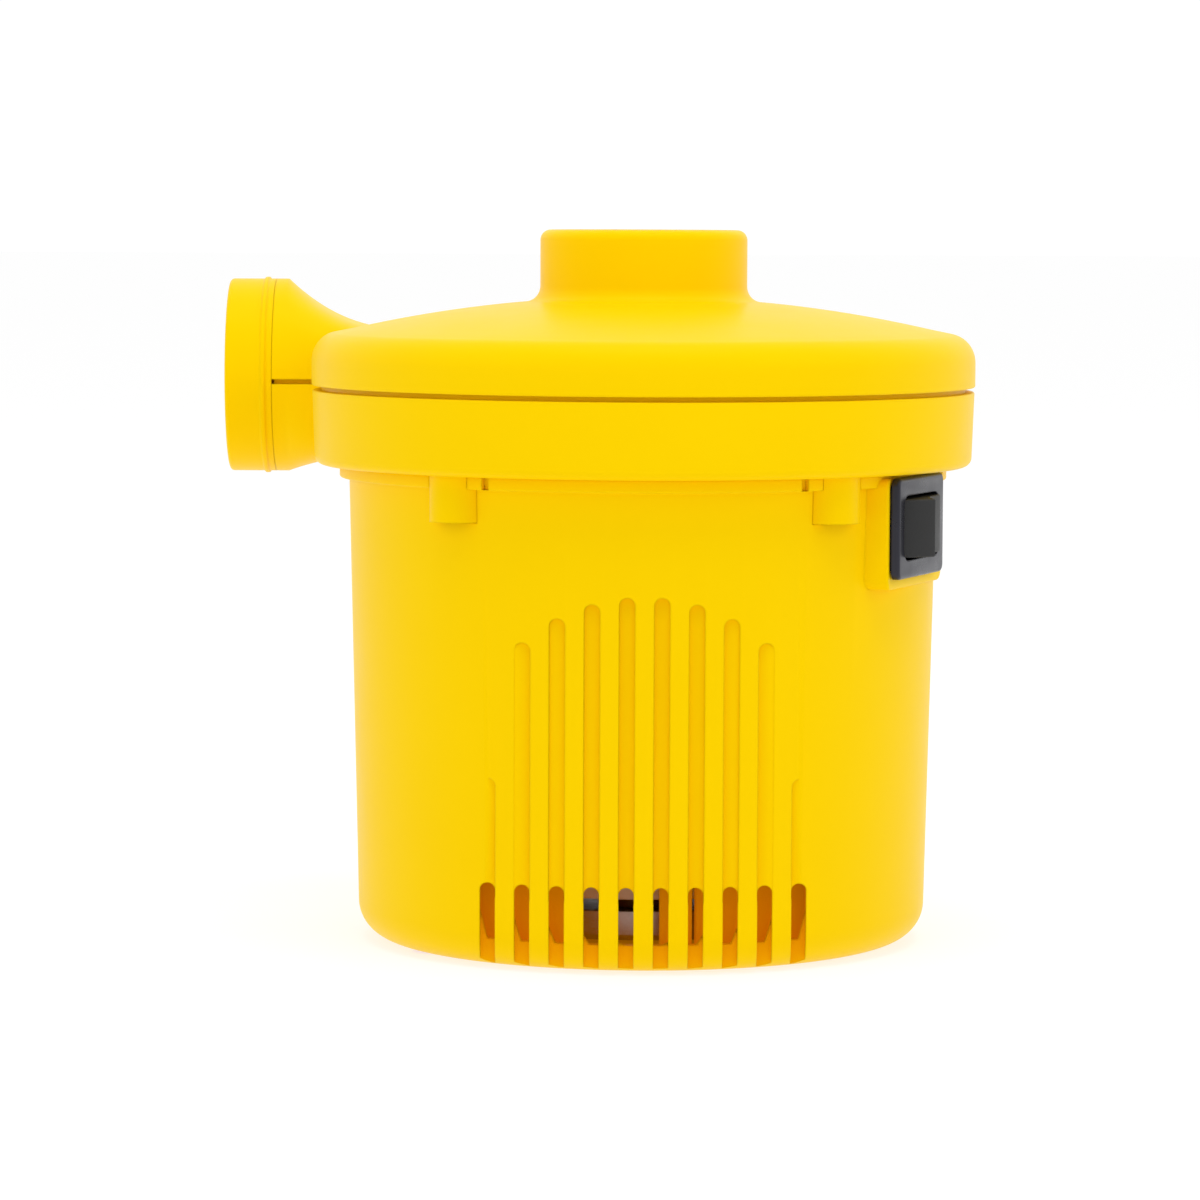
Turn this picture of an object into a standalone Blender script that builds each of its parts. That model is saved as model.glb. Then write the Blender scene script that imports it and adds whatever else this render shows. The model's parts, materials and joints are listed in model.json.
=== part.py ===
"""Electric air mattress pump: a fan drum with a top inlet and a side outlet, over a vented motor body.

Metres, +Z up. The origin is the centre of the flat underside, on the axis of the motor. The vents
and the switch face -Y, and the outlet points to -X. Sizes below are in millimetres, and MM turns
them into metres.
"""

from math import cos, pi, radians, sin, sqrt

import bmesh
import bpy
from mathutils import Matrix, Vector

MM = 0.001
FIT = 0.3  # gap left between pieces that are cut by, or rest on, each other
STEPS = 48  # facets round the large shells
SMALL_STEPS = 16  # facets round small turned pieces

# Body
BODY_TOP_R = 42.9
BODY_BASE_R = BODY_TOP_R - 1.4
BODY_WALL = 2.2
BASE_FILLET = 6.5
FLOOR_T = 2.4
SKIRT_R = BODY_TOP_R + 1.4
DRUM_Z = 69.25  # underside of the fan drum
SKIRT_Z = DRUM_Z - 1.85
BODY_TOP_Z = DRUM_Z - FIT
SILL_Z = 3.8  # step of the floor just behind the vents
SILL_R = (BODY_BASE_R - 4.9, BODY_BASE_R - 2.9)

# Vents
VENT_PITCH = 4.85
VENT_W = 2.1
VENT_COUNT = 10
VENT_DEPTH = 1.0
VENT_FADE = (22.0, 0.75)  # half width of the field of vents, and the share of the depth lost by there
GROOVE_EXTRA_W = 0.1  # the grooves are this much wider than the open feet below them
WINDOW_Z = 12.2
ARCH_R = 25.0
ARCH_Z = 27.9
OUTER_VENT_Z = 27.0
SKIRT_GAP = (1.1, 30.15)  # width of the two gaps in the skirt, and their azimuth to each side
BAFFLE_R = (SILL_R[0] - 2.4, SILL_R[0] - 1.2)
BAFFLE_Z = 15.0
BAFFLE_ARCS = ((-42.0, -14.4), (3.8, 11.2), (12.2, 42.0))

# Fan drum
DRUM_R = BODY_TOP_R + 5.4
DRUM_LOW_R = DRUM_R - 0.35
DRUM_FLOOR = 2.25
SEAM_Z = (DRUM_Z + 10.8, DRUM_Z + 11.5)
TONGUE_R = DRUM_R - 1.3
TONGUE_T = 1.6
CHAMBER_R = TONGUE_R - TONGUE_T
TONGUE_Z = SEAM_Z[0] + 2.65

# Top cover
COVER_R = DRUM_R + 0.1
COVER_T = 2.2
SHOULDER = (4.0, 4.2)  # radial and vertical size of the rounded rim
DOME_Z = DRUM_Z + 23.85
DOME_R = 15.0
DOME_FALL = (2.205, 2.42)  # the straight and the curved part of its fall from the collar to the rim
COLLAR_R = 15.1
COLLAR_Z = DOME_Z + 10.3
COLLAR_LIP = 1.5
COLLAR_FILLET = 2.3
INLET_R = COLLAR_R - 2.1
LEDGE_R = INLET_R - 1.0
LEDGE_Z = DOME_Z + 2.6

# Outlet
OUTLET_R = 14.65
OUTLET_Y = DRUM_R - OUTLET_R  # the duct leaves the drum along its rear edge
OUTLET_Z = DRUM_Z + 11.75
OUTLET_END_X = -DRUM_R - 14.4
OUTLET_JOINT_X = OUTLET_END_X + 7.1
DUCT_WALL = 2.0
DUCT_START_X = -6.0
DUCT_BORE_X = -22.5
DUCT_TOP_Z = DOME_Z - 5.1
BEAD_X = OUTLET_END_X + 5.7
BEAD = (0.28, 0.3, 0.45)  # height, half width at the top and half width at the foot
FLARE_X = (12.3 - DRUM_R, -DRUM_R - 5.5)
FLARE_STEPS = (0.0, 0.28, 0.51, 0.70, 0.86, 1.0)
FLARE_POWER = 2.3
DUCT_SQUARENESS = 6.0
DUCT_SIDES = 24

# Fixings
SCREW_R = 1.5
SCREW_HEAD_R = 2.7
SCREW_HEAD_H = 2.0
SCREW_CLEAR = 0.2
THREAD_GAP = 0.06  # between a screw and the plain hole that stands for its thread
WELL_DEPTH = 2.5  # from a body screw's head to the top of its column
PEG_WELL_DEPTH = 3.0
PEG_R = 4.05
PEG_RING = BODY_TOP_R - 1.0
PEG_Z = DRUM_Z - 6.55
PEG_AZIMUTHS = (-38.5, 38.5, 155.0, -155.0)
COLUMN_R = 3.8
COLUMN_RING = BODY_BASE_R - 6.9
COLUMN_Z = DRUM_Z - 10.95
COLUMN_AZIMUTHS = (-60.0, 100.0, 145.0, -145.0)
MOTOR_POST_Y = 18.0
MOTOR_POST_R = 3.2
COVER_POST_R = 3.0
BOLT_X = 22.0

# Motor
SHAFT_R = 1.5
BORE_GAP = 0.08  # running clearance of the shaft in its bearings
STACK_Z = (DRUM_Z - 43.25, DRUM_Z - 19.25)
STATOR = (26.0, 21.0)
POLE_HALF = 7.5
POCKET = (17.5, 17.4)
ROTOR_R = 11.8
STATOR_BORE = ROTOR_R + 0.5
ROTOR_SLOTS = 12
BELL_R = 30.0
BELL_Z = 3.2
BELL_RIM_Z = 7.4
CARRIER_Z = (9.1, 11.6)
BRUSH_Z = 16.3
COMMUTATOR_R = 5.5
BRACKET_Z = (DRUM_Z - 11.25, DRUM_Z - 9.75)

# Fan
FAN_R = CHAMBER_R - 8.2
FAN_Z = (DRUM_Z + 3.75, DRUM_Z + 5.15)
FAN_TOP = FAN_Z[1] + 10.1
FAN_HUB_TOP = FAN_Z[1] + 7.6
SHAFT_Z = (4.2, FAN_HUB_TOP + 4.6)
FAN_BLADES = 8

# Switch, in its own frame: e along the face, p out of it, z up
SWITCH_AZIMUTH = 69.0
SWITCH_E = -5.3
SWITCH_Z = DRUM_Z - 7.6
SWITCH_PLANE = BODY_TOP_R
FLANGE = (21.0, 14.3, 1.2)
SWITCH_BOX = (FLANGE[0] - 1.2, FLANGE[1] - 2.3, 12.0)
ROCKER_OPENING = (16.6, 9.2)
ROCKER_Z_HALF = ROCKER_OPENING[1] / 2 - 0.5
ROCKER_SWING_R = 8.6
ROCKER_PIVOT = SWITCH_PLANE - 2.7
ROCKER_REST = 14.0
BOSS_E = (-16.3, 9.0)
BOSS_Z = SWITCH_Z - 8.65

# Cord gland
GLAND_Z = DRUM_Z - 8.25
GLAND_HOLE_R = 3.3
GLAND_NECK_R = 4.6
LEAD_R = 0.8


def clear_scene():
    for item in list(bpy.data.objects):
        bpy.data.objects.remove(item, do_unlink=True)


clear_scene()
PARTS = bpy.data.collections.new("air_mattress_pump")
CUTTERS = bpy.data.collections.new("cutters")
bpy.context.scene.collection.children.link(PARTS)
bpy.context.scene.collection.children.link(CUTTERS)
CUTTERS.hide_render = True
REACH = 60.0  # cutters run out past the widest part of the shell


def plastic_or_metal(name, colour, roughness, metallic=0.0):
    made = bpy.data.materials.new(name)
    made.use_nodes = True
    shader = made.node_tree.nodes["Principled BSDF"]
    shader.inputs["Base Color"].default_value = (*colour, 1.0)
    shader.inputs["Roughness"].default_value = roughness
    shader.inputs["Metallic"].default_value = metallic
    return made


LOOKS = {
    "yellow_plastic": ((1.0, 0.62, 0.0), 0.3, 0.0),
    "black_plastic": ((0.03, 0.03, 0.035), 0.35, 0.0),
    "rocker_plastic": ((0.02, 0.02, 0.022), 0.55, 0.0),
    "white_nylon": ((0.85, 0.85, 0.82), 0.45, 0.0),
    "rubber": ((0.02, 0.02, 0.02), 0.8, 0.0),
    "steel": ((0.55, 0.56, 0.57), 0.35, 1.0),
    "laminations": ((0.32, 0.31, 0.31), 0.5, 1.0),
    "copper": ((0.72, 0.33, 0.16), 0.35, 1.0),
    "brass": ((0.78, 0.58, 0.25), 0.3, 1.0),
    "bronze": ((0.6, 0.42, 0.22), 0.45, 1.0),
    "carbon": ((0.04, 0.04, 0.04), 0.6, 0.0),
    "wire_red": ((0.55, 0.03, 0.03), 0.5, 0.0),
    "wire_blue": ((0.03, 0.1, 0.45), 0.5, 0.0),
    "wire_black": ((0.02, 0.02, 0.02), 0.5, 0.0),
}
MATERIALS = {name: plastic_or_metal(name, *look) for name, look in LOOKS.items()}


def add(name, bm, look=None, smooth=True):
    """Makes an object of a mesh in millimetres: a node when it has a look, a cutter when it has none."""
    bmesh.ops.scale(bm, vec=(MM, MM, MM), verts=bm.verts)
    bmesh.ops.recalc_face_normals(bm, faces=bm.faces)
    mesh = bpy.data.meshes.new(name)
    bm.to_mesh(mesh)
    bm.free()
    made = bpy.data.objects.new(name, mesh)
    finish(made, look, smooth)
    return made


def finish(made, look, smooth=True):
    if look:
        made.data.materials.append(MATERIALS[look])
        PARTS.objects.link(made)
        if smooth:
            made.data.shade_smooth()
            made.data.set_sharp_from_angle(angle=radians(32))
    else:
        CUTTERS.objects.link(made)
        made.hide_render = True
        made.display_type = "WIRE"


def turned(name, profile, look=None, steps=STEPS):
    """Turns an (r, z) profile round Z. It runs down the outer side, and closes on itself off the axis."""
    mesh = bpy.data.meshes.new(name)
    points = [(r * MM, 0.0, z * MM) for r, z in profile]
    links = [(i, i + 1) for i in range(len(points) - 1)]
    on_axis = profile[0][0] == 0.0 and profile[-1][0] == 0.0
    if not on_axis:
        links.append((len(points) - 1, 0))
    mesh.from_pydata(points, links, [])
    made = bpy.data.objects.new(name, mesh)
    screw = made.modifiers.new("turn", "SCREW")
    screw.axis = "Z"
    screw.steps = steps
    screw.render_steps = steps
    screw.use_merge_vertices = True
    screw.merge_threshold = 0.00001
    finish(made, look, smooth=False)
    return made


def block(name, size, centre, look=None, turn=0.0):
    bm = bmesh.new()
    bmesh.ops.create_cube(bm, size=1.0)
    bmesh.ops.scale(bm, vec=size, verts=bm.verts)
    bmesh.ops.rotate(bm, matrix=Matrix.Rotation(radians(turn), 3, "Z"), verts=bm.verts)
    bmesh.ops.translate(bm, vec=centre, verts=bm.verts)
    return add(name, bm, look, smooth=False)


def rods(name, radius, low, high, places, look=None, steps=SMALL_STEPS):
    """Upright cylinders at the same height, in one mesh."""
    bm = bmesh.new()
    for x, y in places:
        shift = Matrix.Translation((x, y, (low + high) / 2))
        bmesh.ops.create_cone(
            bm, cap_ends=True, segments=steps, radius1=radius, radius2=radius, depth=high - low, matrix=shift
        )
    return add(name, bm, look)


def prism(name, outline, low, high, look=None, place=None, smooth=False):
    """Extrudes an (x, y) outline from z = low to z = high, then moves it by the matrix."""
    bm = bmesh.new()
    face = bm.faces.new([bm.verts.new((x, y, low)) for x, y in outline])
    swept = bmesh.ops.extrude_face_region(bm, geom=[face])
    top = [item for item in swept["geom"] if isinstance(item, bmesh.types.BMVert)]
    bmesh.ops.translate(bm, vec=(0, 0, high - low), verts=top)
    if place:
        bmesh.ops.transform(bm, matrix=place, verts=bm.verts)
    return add(name, bm, look, smooth)


def arc(centre, radius, start, end, count):
    """Points on a circle or an ellipse, at equal angles in degrees from start to end."""
    a, b = radius if isinstance(radius, tuple) else (radius, radius)
    angles = [radians(start + (end - start) * i / count) for i in range(count + 1)]
    return [(centre[0] + a * cos(t), centre[1] + b * sin(t)) for t in angles]


def rounded_rectangle(width, height, radius, count=4):
    x, y = width / 2 - radius, height / 2 - radius
    corners = ((x, y, 0), (-x, y, 90), (-x, -y, 180), (x, -y, 270))
    return [p for cx, cy, start in corners for p in arc((cx, cy), radius, start, start + 90, count)]


def modify(target, other, operation, solver="EXACT"):
    boolean = target.modifiers.new(other.name, "BOOLEAN")
    boolean.operation = operation
    boolean.solver = solver
    boolean.object = other


def cut(target, *others):
    for other in others:
        modify(target, other, "DIFFERENCE")


def join(target, *others):
    for other in others:
        modify(target, other, "UNION")


def shade_round(target):
    """Smooth shading, also on what a Screw modifier makes."""
    target.data.shade_smooth()
    for modifier in target.modifiers:
        if modifier.type == "SCREW":
            modifier.use_smooth_shade = True


def ring_place(radius, azimuth):
    """A point on a ring. Azimuth 0 is at the vents, and it grows towards +X."""
    return (radius * sin(radians(azimuth)), -radius * cos(radians(azimuth)))


PEGS = [ring_place(PEG_RING, a) for a in PEG_AZIMUTHS]
COLUMNS = [ring_place(COLUMN_RING, a) for a in COLUMN_AZIMUTHS]
MOTOR_POSTS = [(0.0, -MOTOR_POST_Y), (0.0, MOTOR_POST_Y)]
BOLTS = [(-BOLT_X, 0.0), (BOLT_X, 0.0)]
CLEAR_R = SCREW_R + SCREW_CLEAR
COUNTERBORE_R = SCREW_HEAD_R + SCREW_CLEAR


# --- Switch frame -------------------------------------------------------------------------------
def switch_frame():
    """Columns e, z, p: along the face away from the vents, up, and out of the face."""
    out = Vector((sin(radians(SWITCH_AZIMUTH)), -cos(radians(SWITCH_AZIMUTH)), 0.0))
    along = Vector((cos(radians(SWITCH_AZIMUTH)), sin(radians(SWITCH_AZIMUTH)), 0.0))
    turn = Matrix((along, Vector((0, 0, 1)), out)).transposed().to_4x4()
    return turn


SWITCH = switch_frame()


def switch_place(e, z, p):
    return Matrix.Translation(SWITCH @ Vector((e, 0, p)) + Vector((0, 0, z))) @ SWITCH


# --- Body shell ---------------------------------------------------------------------------------
def body_radius(z):
    span = (z - BASE_FILLET) / (SKIRT_Z - BASE_FILLET)
    return BODY_BASE_R + (BODY_TOP_R - BODY_BASE_R) * span


def vent_outline(top, low, width):
    """A slot with a round head, as (x, z) points."""
    return [(-width / 2, low), (width / 2, low)] + arc((0, top - width / 2), width / 2, 0, 180, 4)


def vent_positions():
    return [(i - (VENT_COUNT - 1) / 2) * VENT_PITCH for i in range(VENT_COUNT)]


def slot_cutter(name, side, slots):
    """Slots with round heads, each given as (x, outline, back), where back(z) is a straight line."""
    bm = bmesh.new()
    for x, points, back in slots:
        near = [bm.verts.new((x + px, -back(pz), pz)) for px, pz in points]
        far = [bm.verts.new((x + px, -REACH, pz)) for px, pz in points]
        bm.faces.new(near)
        bm.faces.new(list(reversed(far)))
        for i in range(len(points)):
            j = (i + 1) % len(points)
            bm.faces.new((near[i], far[i], far[j], near[j]))
    if side > 0:
        bmesh.ops.rotate(bm, matrix=Matrix.Rotation(pi, 3, "Z"), verts=bm.verts)
    return add(name, bm)


def groove_cutter(name, side):
    """The shallow grooves of one side. Each follows the taper of the wall at its own depth."""
    slots = []
    low = WINDOW_Z - VENT_W
    for x in vent_positions():
        outermost = abs(x) > VENT_PITCH * (VENT_COUNT / 2 - 1)
        top = OUTER_VENT_Z if outermost else ARCH_Z + sqrt(ARCH_R**2 - x**2)
        depth = VENT_DEPTH * (1.0 - VENT_FADE[1] * (x / VENT_FADE[0]) ** 2)
        ends = [sqrt(body_radius(z) ** 2 - x**2) - depth for z in (low, top)]
        if outermost:
            ends[1] += depth
        rise = (ends[1] - ends[0]) / (top - low)
        outline = vent_outline(top, low, VENT_W + GROOVE_EXTRA_W)
        slots.append((x, outline, lambda z, a=ends[0], b=rise: a + b * (z - low)))
    return slot_cutter(name, side, slots)


def window_cutter(name, side):
    """The open feet of the slots, through the wall and the corner below it, back to the floor's step."""
    slots = []
    for x in vent_positions():
        back = sqrt(SILL_R[1] ** 2 - x**2)
        slots.append((x, vent_outline(WINDOW_Z, -1.0, VENT_W), lambda z, a=back: a))
    return slot_cutter(name, side, slots)


def body_shell():
    foot = arc((BODY_BASE_R - BASE_FILLET, BASE_FILLET), BASE_FILLET, 0, -90, 5)
    outside = [(0.0, BODY_TOP_Z), (SKIRT_R - 0.4, BODY_TOP_Z), (SKIRT_R, BODY_TOP_Z - 0.4)]
    outside += [(SKIRT_R, SKIRT_Z), (BODY_TOP_R, SKIRT_Z)] + foot + [(0.0, 0.0)]
    shell = turned("body_shell", outside, "yellow_plastic")
    low = SILL_R[1] + 0.6
    inside = [(0.0, BODY_TOP_Z + 1), (BODY_TOP_R - BODY_WALL, BODY_TOP_Z + 1), (low, 8.0)]
    inside += [(SILL_R[1], SILL_Z), (SILL_R[0], SILL_Z), (SILL_R[0], FLOOR_T), (0.0, FLOOR_T)]
    boss_w = BOSS_E[1] - BOSS_E[0]
    boss_top = BODY_TOP_Z - 0.2
    boss_h = boss_top - BOSS_Z
    boss = prism(
        "switch_boss", rounded_rectangle(boss_w, boss_h, 1.6), SWITCH_PLANE - 5.3, SWITCH_PLANE,
        place=switch_place(sum(BOSS_E) / 2, (BOSS_Z + boss_top) / 2, 0.0),
    )
    join(shell, boss)
    cut(shell, turned("body_cavity", inside))
    # The exact solver fails from here on, where columns, notches and slots graze the facets of the wall.
    modify(shell, rods("columns", COLUMN_R, FLOOR_T - 0.5, COLUMN_Z, COLUMNS), "UNION", "MANIFOLD")
    grazing = [rods("column_wells", COUNTERBORE_R, -1.0, COLUMN_Z - WELL_DEPTH, COLUMNS, steps=12)]
    grazing.append(rods("column_holes", CLEAR_R, COLUMN_Z - 4.0, COLUMN_Z + 1, COLUMNS, steps=12))
    grazing.append(rods("peg_notches", PEG_R + 0.35, PEG_Z - 0.35, BODY_TOP_Z + 2, PEGS))
    for side in (-1, 1):
        gap_w, azimuth = SKIRT_GAP
        place = (*ring_place(BODY_TOP_R + 3.0, side * azimuth), SKIRT_Z + 2.02)
        grazing.append(block(f"skirt_gap_{side}", (gap_w, 6.0, 4.0), place, turn=side * azimuth))
    gland_hole = rods("gland_hole", GLAND_NECK_R + FIT, -REACH, -30.0, [(0, 0)], steps=22)
    gland_hole.rotation_euler = (radians(90), 0, 0)
    gland_hole.location = (0, 0, GLAND_Z * MM)
    grazing.append(gland_hole)
    hole = prism(
        "switch_hole", rounded_rectangle(SWITCH_BOX[0] + 0.4, SWITCH_BOX[1] + 0.4, 0.6), 30.0, REACH,
        place=switch_place(SWITCH_E, SWITCH_Z, 0.0),
    )
    grazing.append(hole)
    clear_w = FLANGE[0] + 1.6
    clear_h = 2 * (BODY_TOP_Z + 2 - SWITCH_Z)
    relief = prism(
        "skirt_relief", rounded_rectangle(clear_w, clear_h, 1.0), SWITCH_PLANE, REACH,
        place=switch_place(SWITCH_E, SWITCH_Z, 0.0),
    )
    grazing.append(relief)
    for side, side_name in ((-1, "front"), (1, "rear")):
        grazing.append(groove_cutter(f"grooves_{side_name}", side))
        grazing.append(window_cutter(f"windows_{side_name}", side))
    for cutter in grazing:
        modify(shell, cutter, "DIFFERENCE", "MANIFOLD")
    for i, (start, end) in enumerate(BAFFLE_ARCS):
        band = [ring_place(BAFFLE_R[1], start + (end - start) * k / 8) for k in range(9)]
        band += [ring_place(BAFFLE_R[0], end + (start - end) * k / 8) for k in range(9)]
        baffle = prism(f"baffle_{i}", band, FLOOR_T - 0.5, BAFFLE_Z)
        modify(shell, baffle, "UNION", "MANIFOLD")
    shade_round(shell)
    return shell


# --- Outlet duct --------------------------------------------------------------------------------
def duct(name, inset, start_x, end_x=OUTLET_JOINT_X):
    """The tube from the drum to the outlet: a rounded rectangle that flares into a circle."""
    flare = [FLARE_X[0] + (FLARE_X[1] - FLARE_X[0]) * step for step in FLARE_STEPS]
    stations = [start_x] + [x for x in flare if x < start_x] + [end_x]
    bm = bmesh.new()
    rings = []
    for x in stations:
        u = min(max((FLARE_X[0] - x) / (FLARE_X[0] - FLARE_X[1]), 0.0), 1.0)
        grown = u**FLARE_POWER
        top = DUCT_TOP_Z + (OUTLET_Z + OUTLET_R - DUCT_TOP_Z) * grown - inset
        low = DRUM_Z + (OUTLET_Z - OUTLET_R - DRUM_Z) * grown + inset
        half_y = OUTLET_R - inset
        power = 2.0 / (DUCT_SQUARENESS + (2.0 - DUCT_SQUARENESS) * u)
        ring = []
        for k in range(DUCT_SIDES):
            t = 2 * pi * k / DUCT_SIDES
            cy = abs(cos(t)) ** power * (1 if cos(t) > 0 else -1)
            cz = abs(sin(t)) ** power * (1 if sin(t) > 0 else -1)
            ring.append(bm.verts.new((x, OUTLET_Y + half_y * cy, (top + low) / 2 + (top - low) / 2 * cz)))
        rings.append(ring)
    bm.faces.new(rings[0])
    bm.faces.new(list(reversed(rings[-1])))
    for near, far in zip(rings, rings[1:]):
        for k in range(DUCT_SIDES):
            n = (k + 1) % DUCT_SIDES
            bm.faces.new((near[k], far[k], far[n], near[n]))
    return add(name, bm)


def trimmed_duct(name, inset, start_x, keep_below=None, keep_above=None, end_x=OUTLET_JOINT_X):
    tube = duct(name, inset, start_x, end_x)
    if keep_below:
        cut(tube, block(name + "_over", (80, 60, 40), (-40, OUTLET_Y, keep_below + 20)))
    if keep_above:
        cut(tube, block(name + "_under", (80, 60, 40), (-40, OUTLET_Y, keep_above - 20)))
    return tube


# --- Fan housing --------------------------------------------------------------------------------
def fan_housing():
    floor_z = DRUM_Z + DRUM_FLOOR
    outside = [(0.0, TONGUE_Z), (TONGUE_R, TONGUE_Z), (TONGUE_R, SEAM_Z[0]), (DRUM_R, SEAM_Z[0])]
    outside += [(DRUM_LOW_R, DRUM_Z + 1.3)] + arc((DRUM_LOW_R - 1.3, DRUM_Z + 1.3), 1.3, 0, -90, 2)[1:]
    outside += [(0.0, DRUM_Z)]
    shell = turned("fan_housing", outside, "yellow_plastic")
    join(shell, trimmed_duct("duct_low", 0.0, DUCT_START_X, keep_below=SEAM_Z[0]))
    tongue_end = OUTLET_JOINT_X + FIT
    join(shell, trimmed_duct("duct_tongue", 1.15, DUCT_START_X, keep_below=TONGUE_Z, end_x=tongue_end))
    chamber = [(0.0, TONGUE_Z + 3), (CHAMBER_R, TONGUE_Z + 3), (CHAMBER_R, floor_z), (0.0, floor_z)]
    cut(shell, turned("chamber", chamber))
    cut(shell, duct("duct_bore_low", DUCT_WALL, DUCT_BORE_X, OUTLET_JOINT_X - 1))
    join(shell, rods("pegs", PEG_R, PEG_Z, DRUM_Z + 1.0, PEGS))
    join(shell, rods("hanging_posts", COLUMN_R - 0.6, COLUMN_Z + FIT, DRUM_Z + 1.0, COLUMNS))
    join(shell, rods("motor_posts", MOTOR_POST_R, BRACKET_Z[1] + FIT, DRUM_Z + 1.0, MOTOR_POSTS))
    cut(shell, rods("peg_holes", CLEAR_R, PEG_Z - 1, floor_z + 1, PEGS, steps=12))
    cut(shell, rods("peg_wells", COUNTERBORE_R, PEG_Z - 1, PEG_Z + PEG_WELL_DEPTH, PEGS, steps=12))
    thread_r = SCREW_R + THREAD_GAP
    cut(shell, rods("column_threads", thread_r, COLUMN_Z - 1, DRUM_Z - 0.5, COLUMNS, steps=12))
    cut(shell, rods("motor_threads", thread_r, BRACKET_Z[1] - 1, DRUM_Z - 0.5, MOTOR_POSTS, steps=12))
    cut(shell, rods("shaft_hole", 6.5, DRUM_Z - 1, floor_z + 1, [(0, 0)]))
    shade_round(shell)
    return shell


# --- Top cover ----------------------------------------------------------------------------------
def dome_z(r):
    out = (r - DOME_R) / (COVER_R - SHOULDER[0] - DOME_R)
    return DOME_Z - DOME_FALL[0] * out - DOME_FALL[1] * out**2


def top_cover():
    edge_r = COVER_R - SHOULDER[0]
    shoulder_z = dome_z(edge_r) - SHOULDER[1]
    fillet_r = COLLAR_R + COLLAR_FILLET
    fillet_z = dome_z(fillet_r) + COLLAR_FILLET
    lip = arc((COLLAR_R - COLLAR_LIP, COLLAR_Z - COLLAR_LIP), COLLAR_LIP, 90, 0, 3)
    neck = arc((fillet_r, fillet_z), COLLAR_FILLET, 180, 262, 3)
    dome = [(r, dome_z(r)) for r in (24.0, 30.0, 36.0, 41.0)]
    shoulder = arc((edge_r, shoulder_z), SHOULDER, 76, 0, 4)
    outside = [(0.0, COLLAR_Z)] + lip + neck + dome + shoulder + [(COVER_R, SEAM_Z[1]), (0.0, SEAM_Z[1])]
    shell = turned("top_cover", outside, "yellow_plastic")
    join(shell, trimmed_duct("duct_high", 0.0, DUCT_START_X, keep_above=SEAM_Z[1]))
    under = [(0.0, dome_z(8.0) - COVER_T)]
    under += [(r, dome_z(r) - COVER_T) for r in (24.0, 33.0, 41.0)]
    under += arc((edge_r - 0.6, shoulder_z), (SHOULDER[0] - COVER_T + 0.9, SHOULDER[1] - COVER_T), 60, 0, 2)
    rim_r = under[-1][0]
    recess = TONGUE_Z + FIT
    tongue_r = TONGUE_R + FIT
    under += [(rim_r, recess), (tongue_r, recess), (tongue_r, SEAM_Z[1] - 1), (0.0, SEAM_Z[1] - 1)]
    cut(shell, turned("cover_cavity", under))
    cut(shell, trimmed_duct("duct_recess", 0.85, DUCT_START_X, keep_below=recess))
    cut(shell, duct("duct_bore_high", DUCT_WALL, DUCT_BORE_X, OUTLET_JOINT_X - 1))
    bore = [(0.0, COLLAR_Z + 1), (INLET_R, COLLAR_Z + 1), (INLET_R, LEDGE_Z), (LEDGE_R, LEDGE_Z)]
    bore += [(LEDGE_R, DOME_Z - 6), (0.0, DOME_Z - 6)]
    cut(shell, turned("inlet_bore", bore))
    join(shell, rods("cover_posts", COVER_POST_R, DRUM_Z + DRUM_FLOOR + FIT, DOME_Z - 5.6, PEGS))
    cut(shell, rods("cover_threads", SCREW_R + THREAD_GAP, DRUM_Z, DOME_Z - 8.5, PEGS, steps=12))
    shade_round(shell)
    return shell


def inlet_grille():
    low = LEDGE_Z + FIT
    high = low + 1.8
    outer = INLET_R - FIT
    ring = [(outer, high), (outer, low), (outer - 1.5, low), (outer - 1.5, high)]
    grille = turned("inlet_grille", ring, "yellow_plastic", 32)
    spoke = (8.2, 1.2, high - low - 0.3)
    for i in range(6):
        x, y = ring_place(8.0, 90.0 + 60.0 * i)
        join(grille, block(f"grille_spoke_{i}", spoke, (x, y, (low + high) / 2), turn=60.0 * i))
    join(grille, turned("grille_eye", [(4.6, high), (4.6, low), (3.4, low), (3.4, high)], steps=16))
    shade_round(grille)
    return grille


def outlet_nozzle():
    length = OUTLET_JOINT_X - FIT - OUTLET_END_X
    spigot = 1.7
    bore = OUTLET_R - 1.9
    spigot_r = OUTLET_R - DUCT_WALL - FIT
    bead = OUTLET_JOINT_X - FIT - BEAD_X
    bead_h, bead_top, bead_foot = BEAD
    tip = arc((OUTLET_R - 0.6, length - 0.6), 0.6, 90, 0, 2)
    profile = [(bore, length)] + tip
    profile += [(OUTLET_R, bead + bead_foot), (OUTLET_R + bead_h, bead + bead_top)]
    profile += [(OUTLET_R + bead_h, bead - bead_top), (OUTLET_R, bead - bead_foot)]
    profile += [(OUTLET_R, 0.0), (spigot_r, 0.0), (spigot_r, -spigot)]
    profile += [(spigot_r - 1.2, -spigot)]
    nozzle = turned("outlet_nozzle", profile, "yellow_plastic", 40)
    nozzle.rotation_euler = (0, radians(-90), 0)
    nozzle.location = ((OUTLET_JOINT_X - FIT) * MM, OUTLET_Y * MM, OUTLET_Z * MM)
    shade_round(nozzle)
    return nozzle


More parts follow.
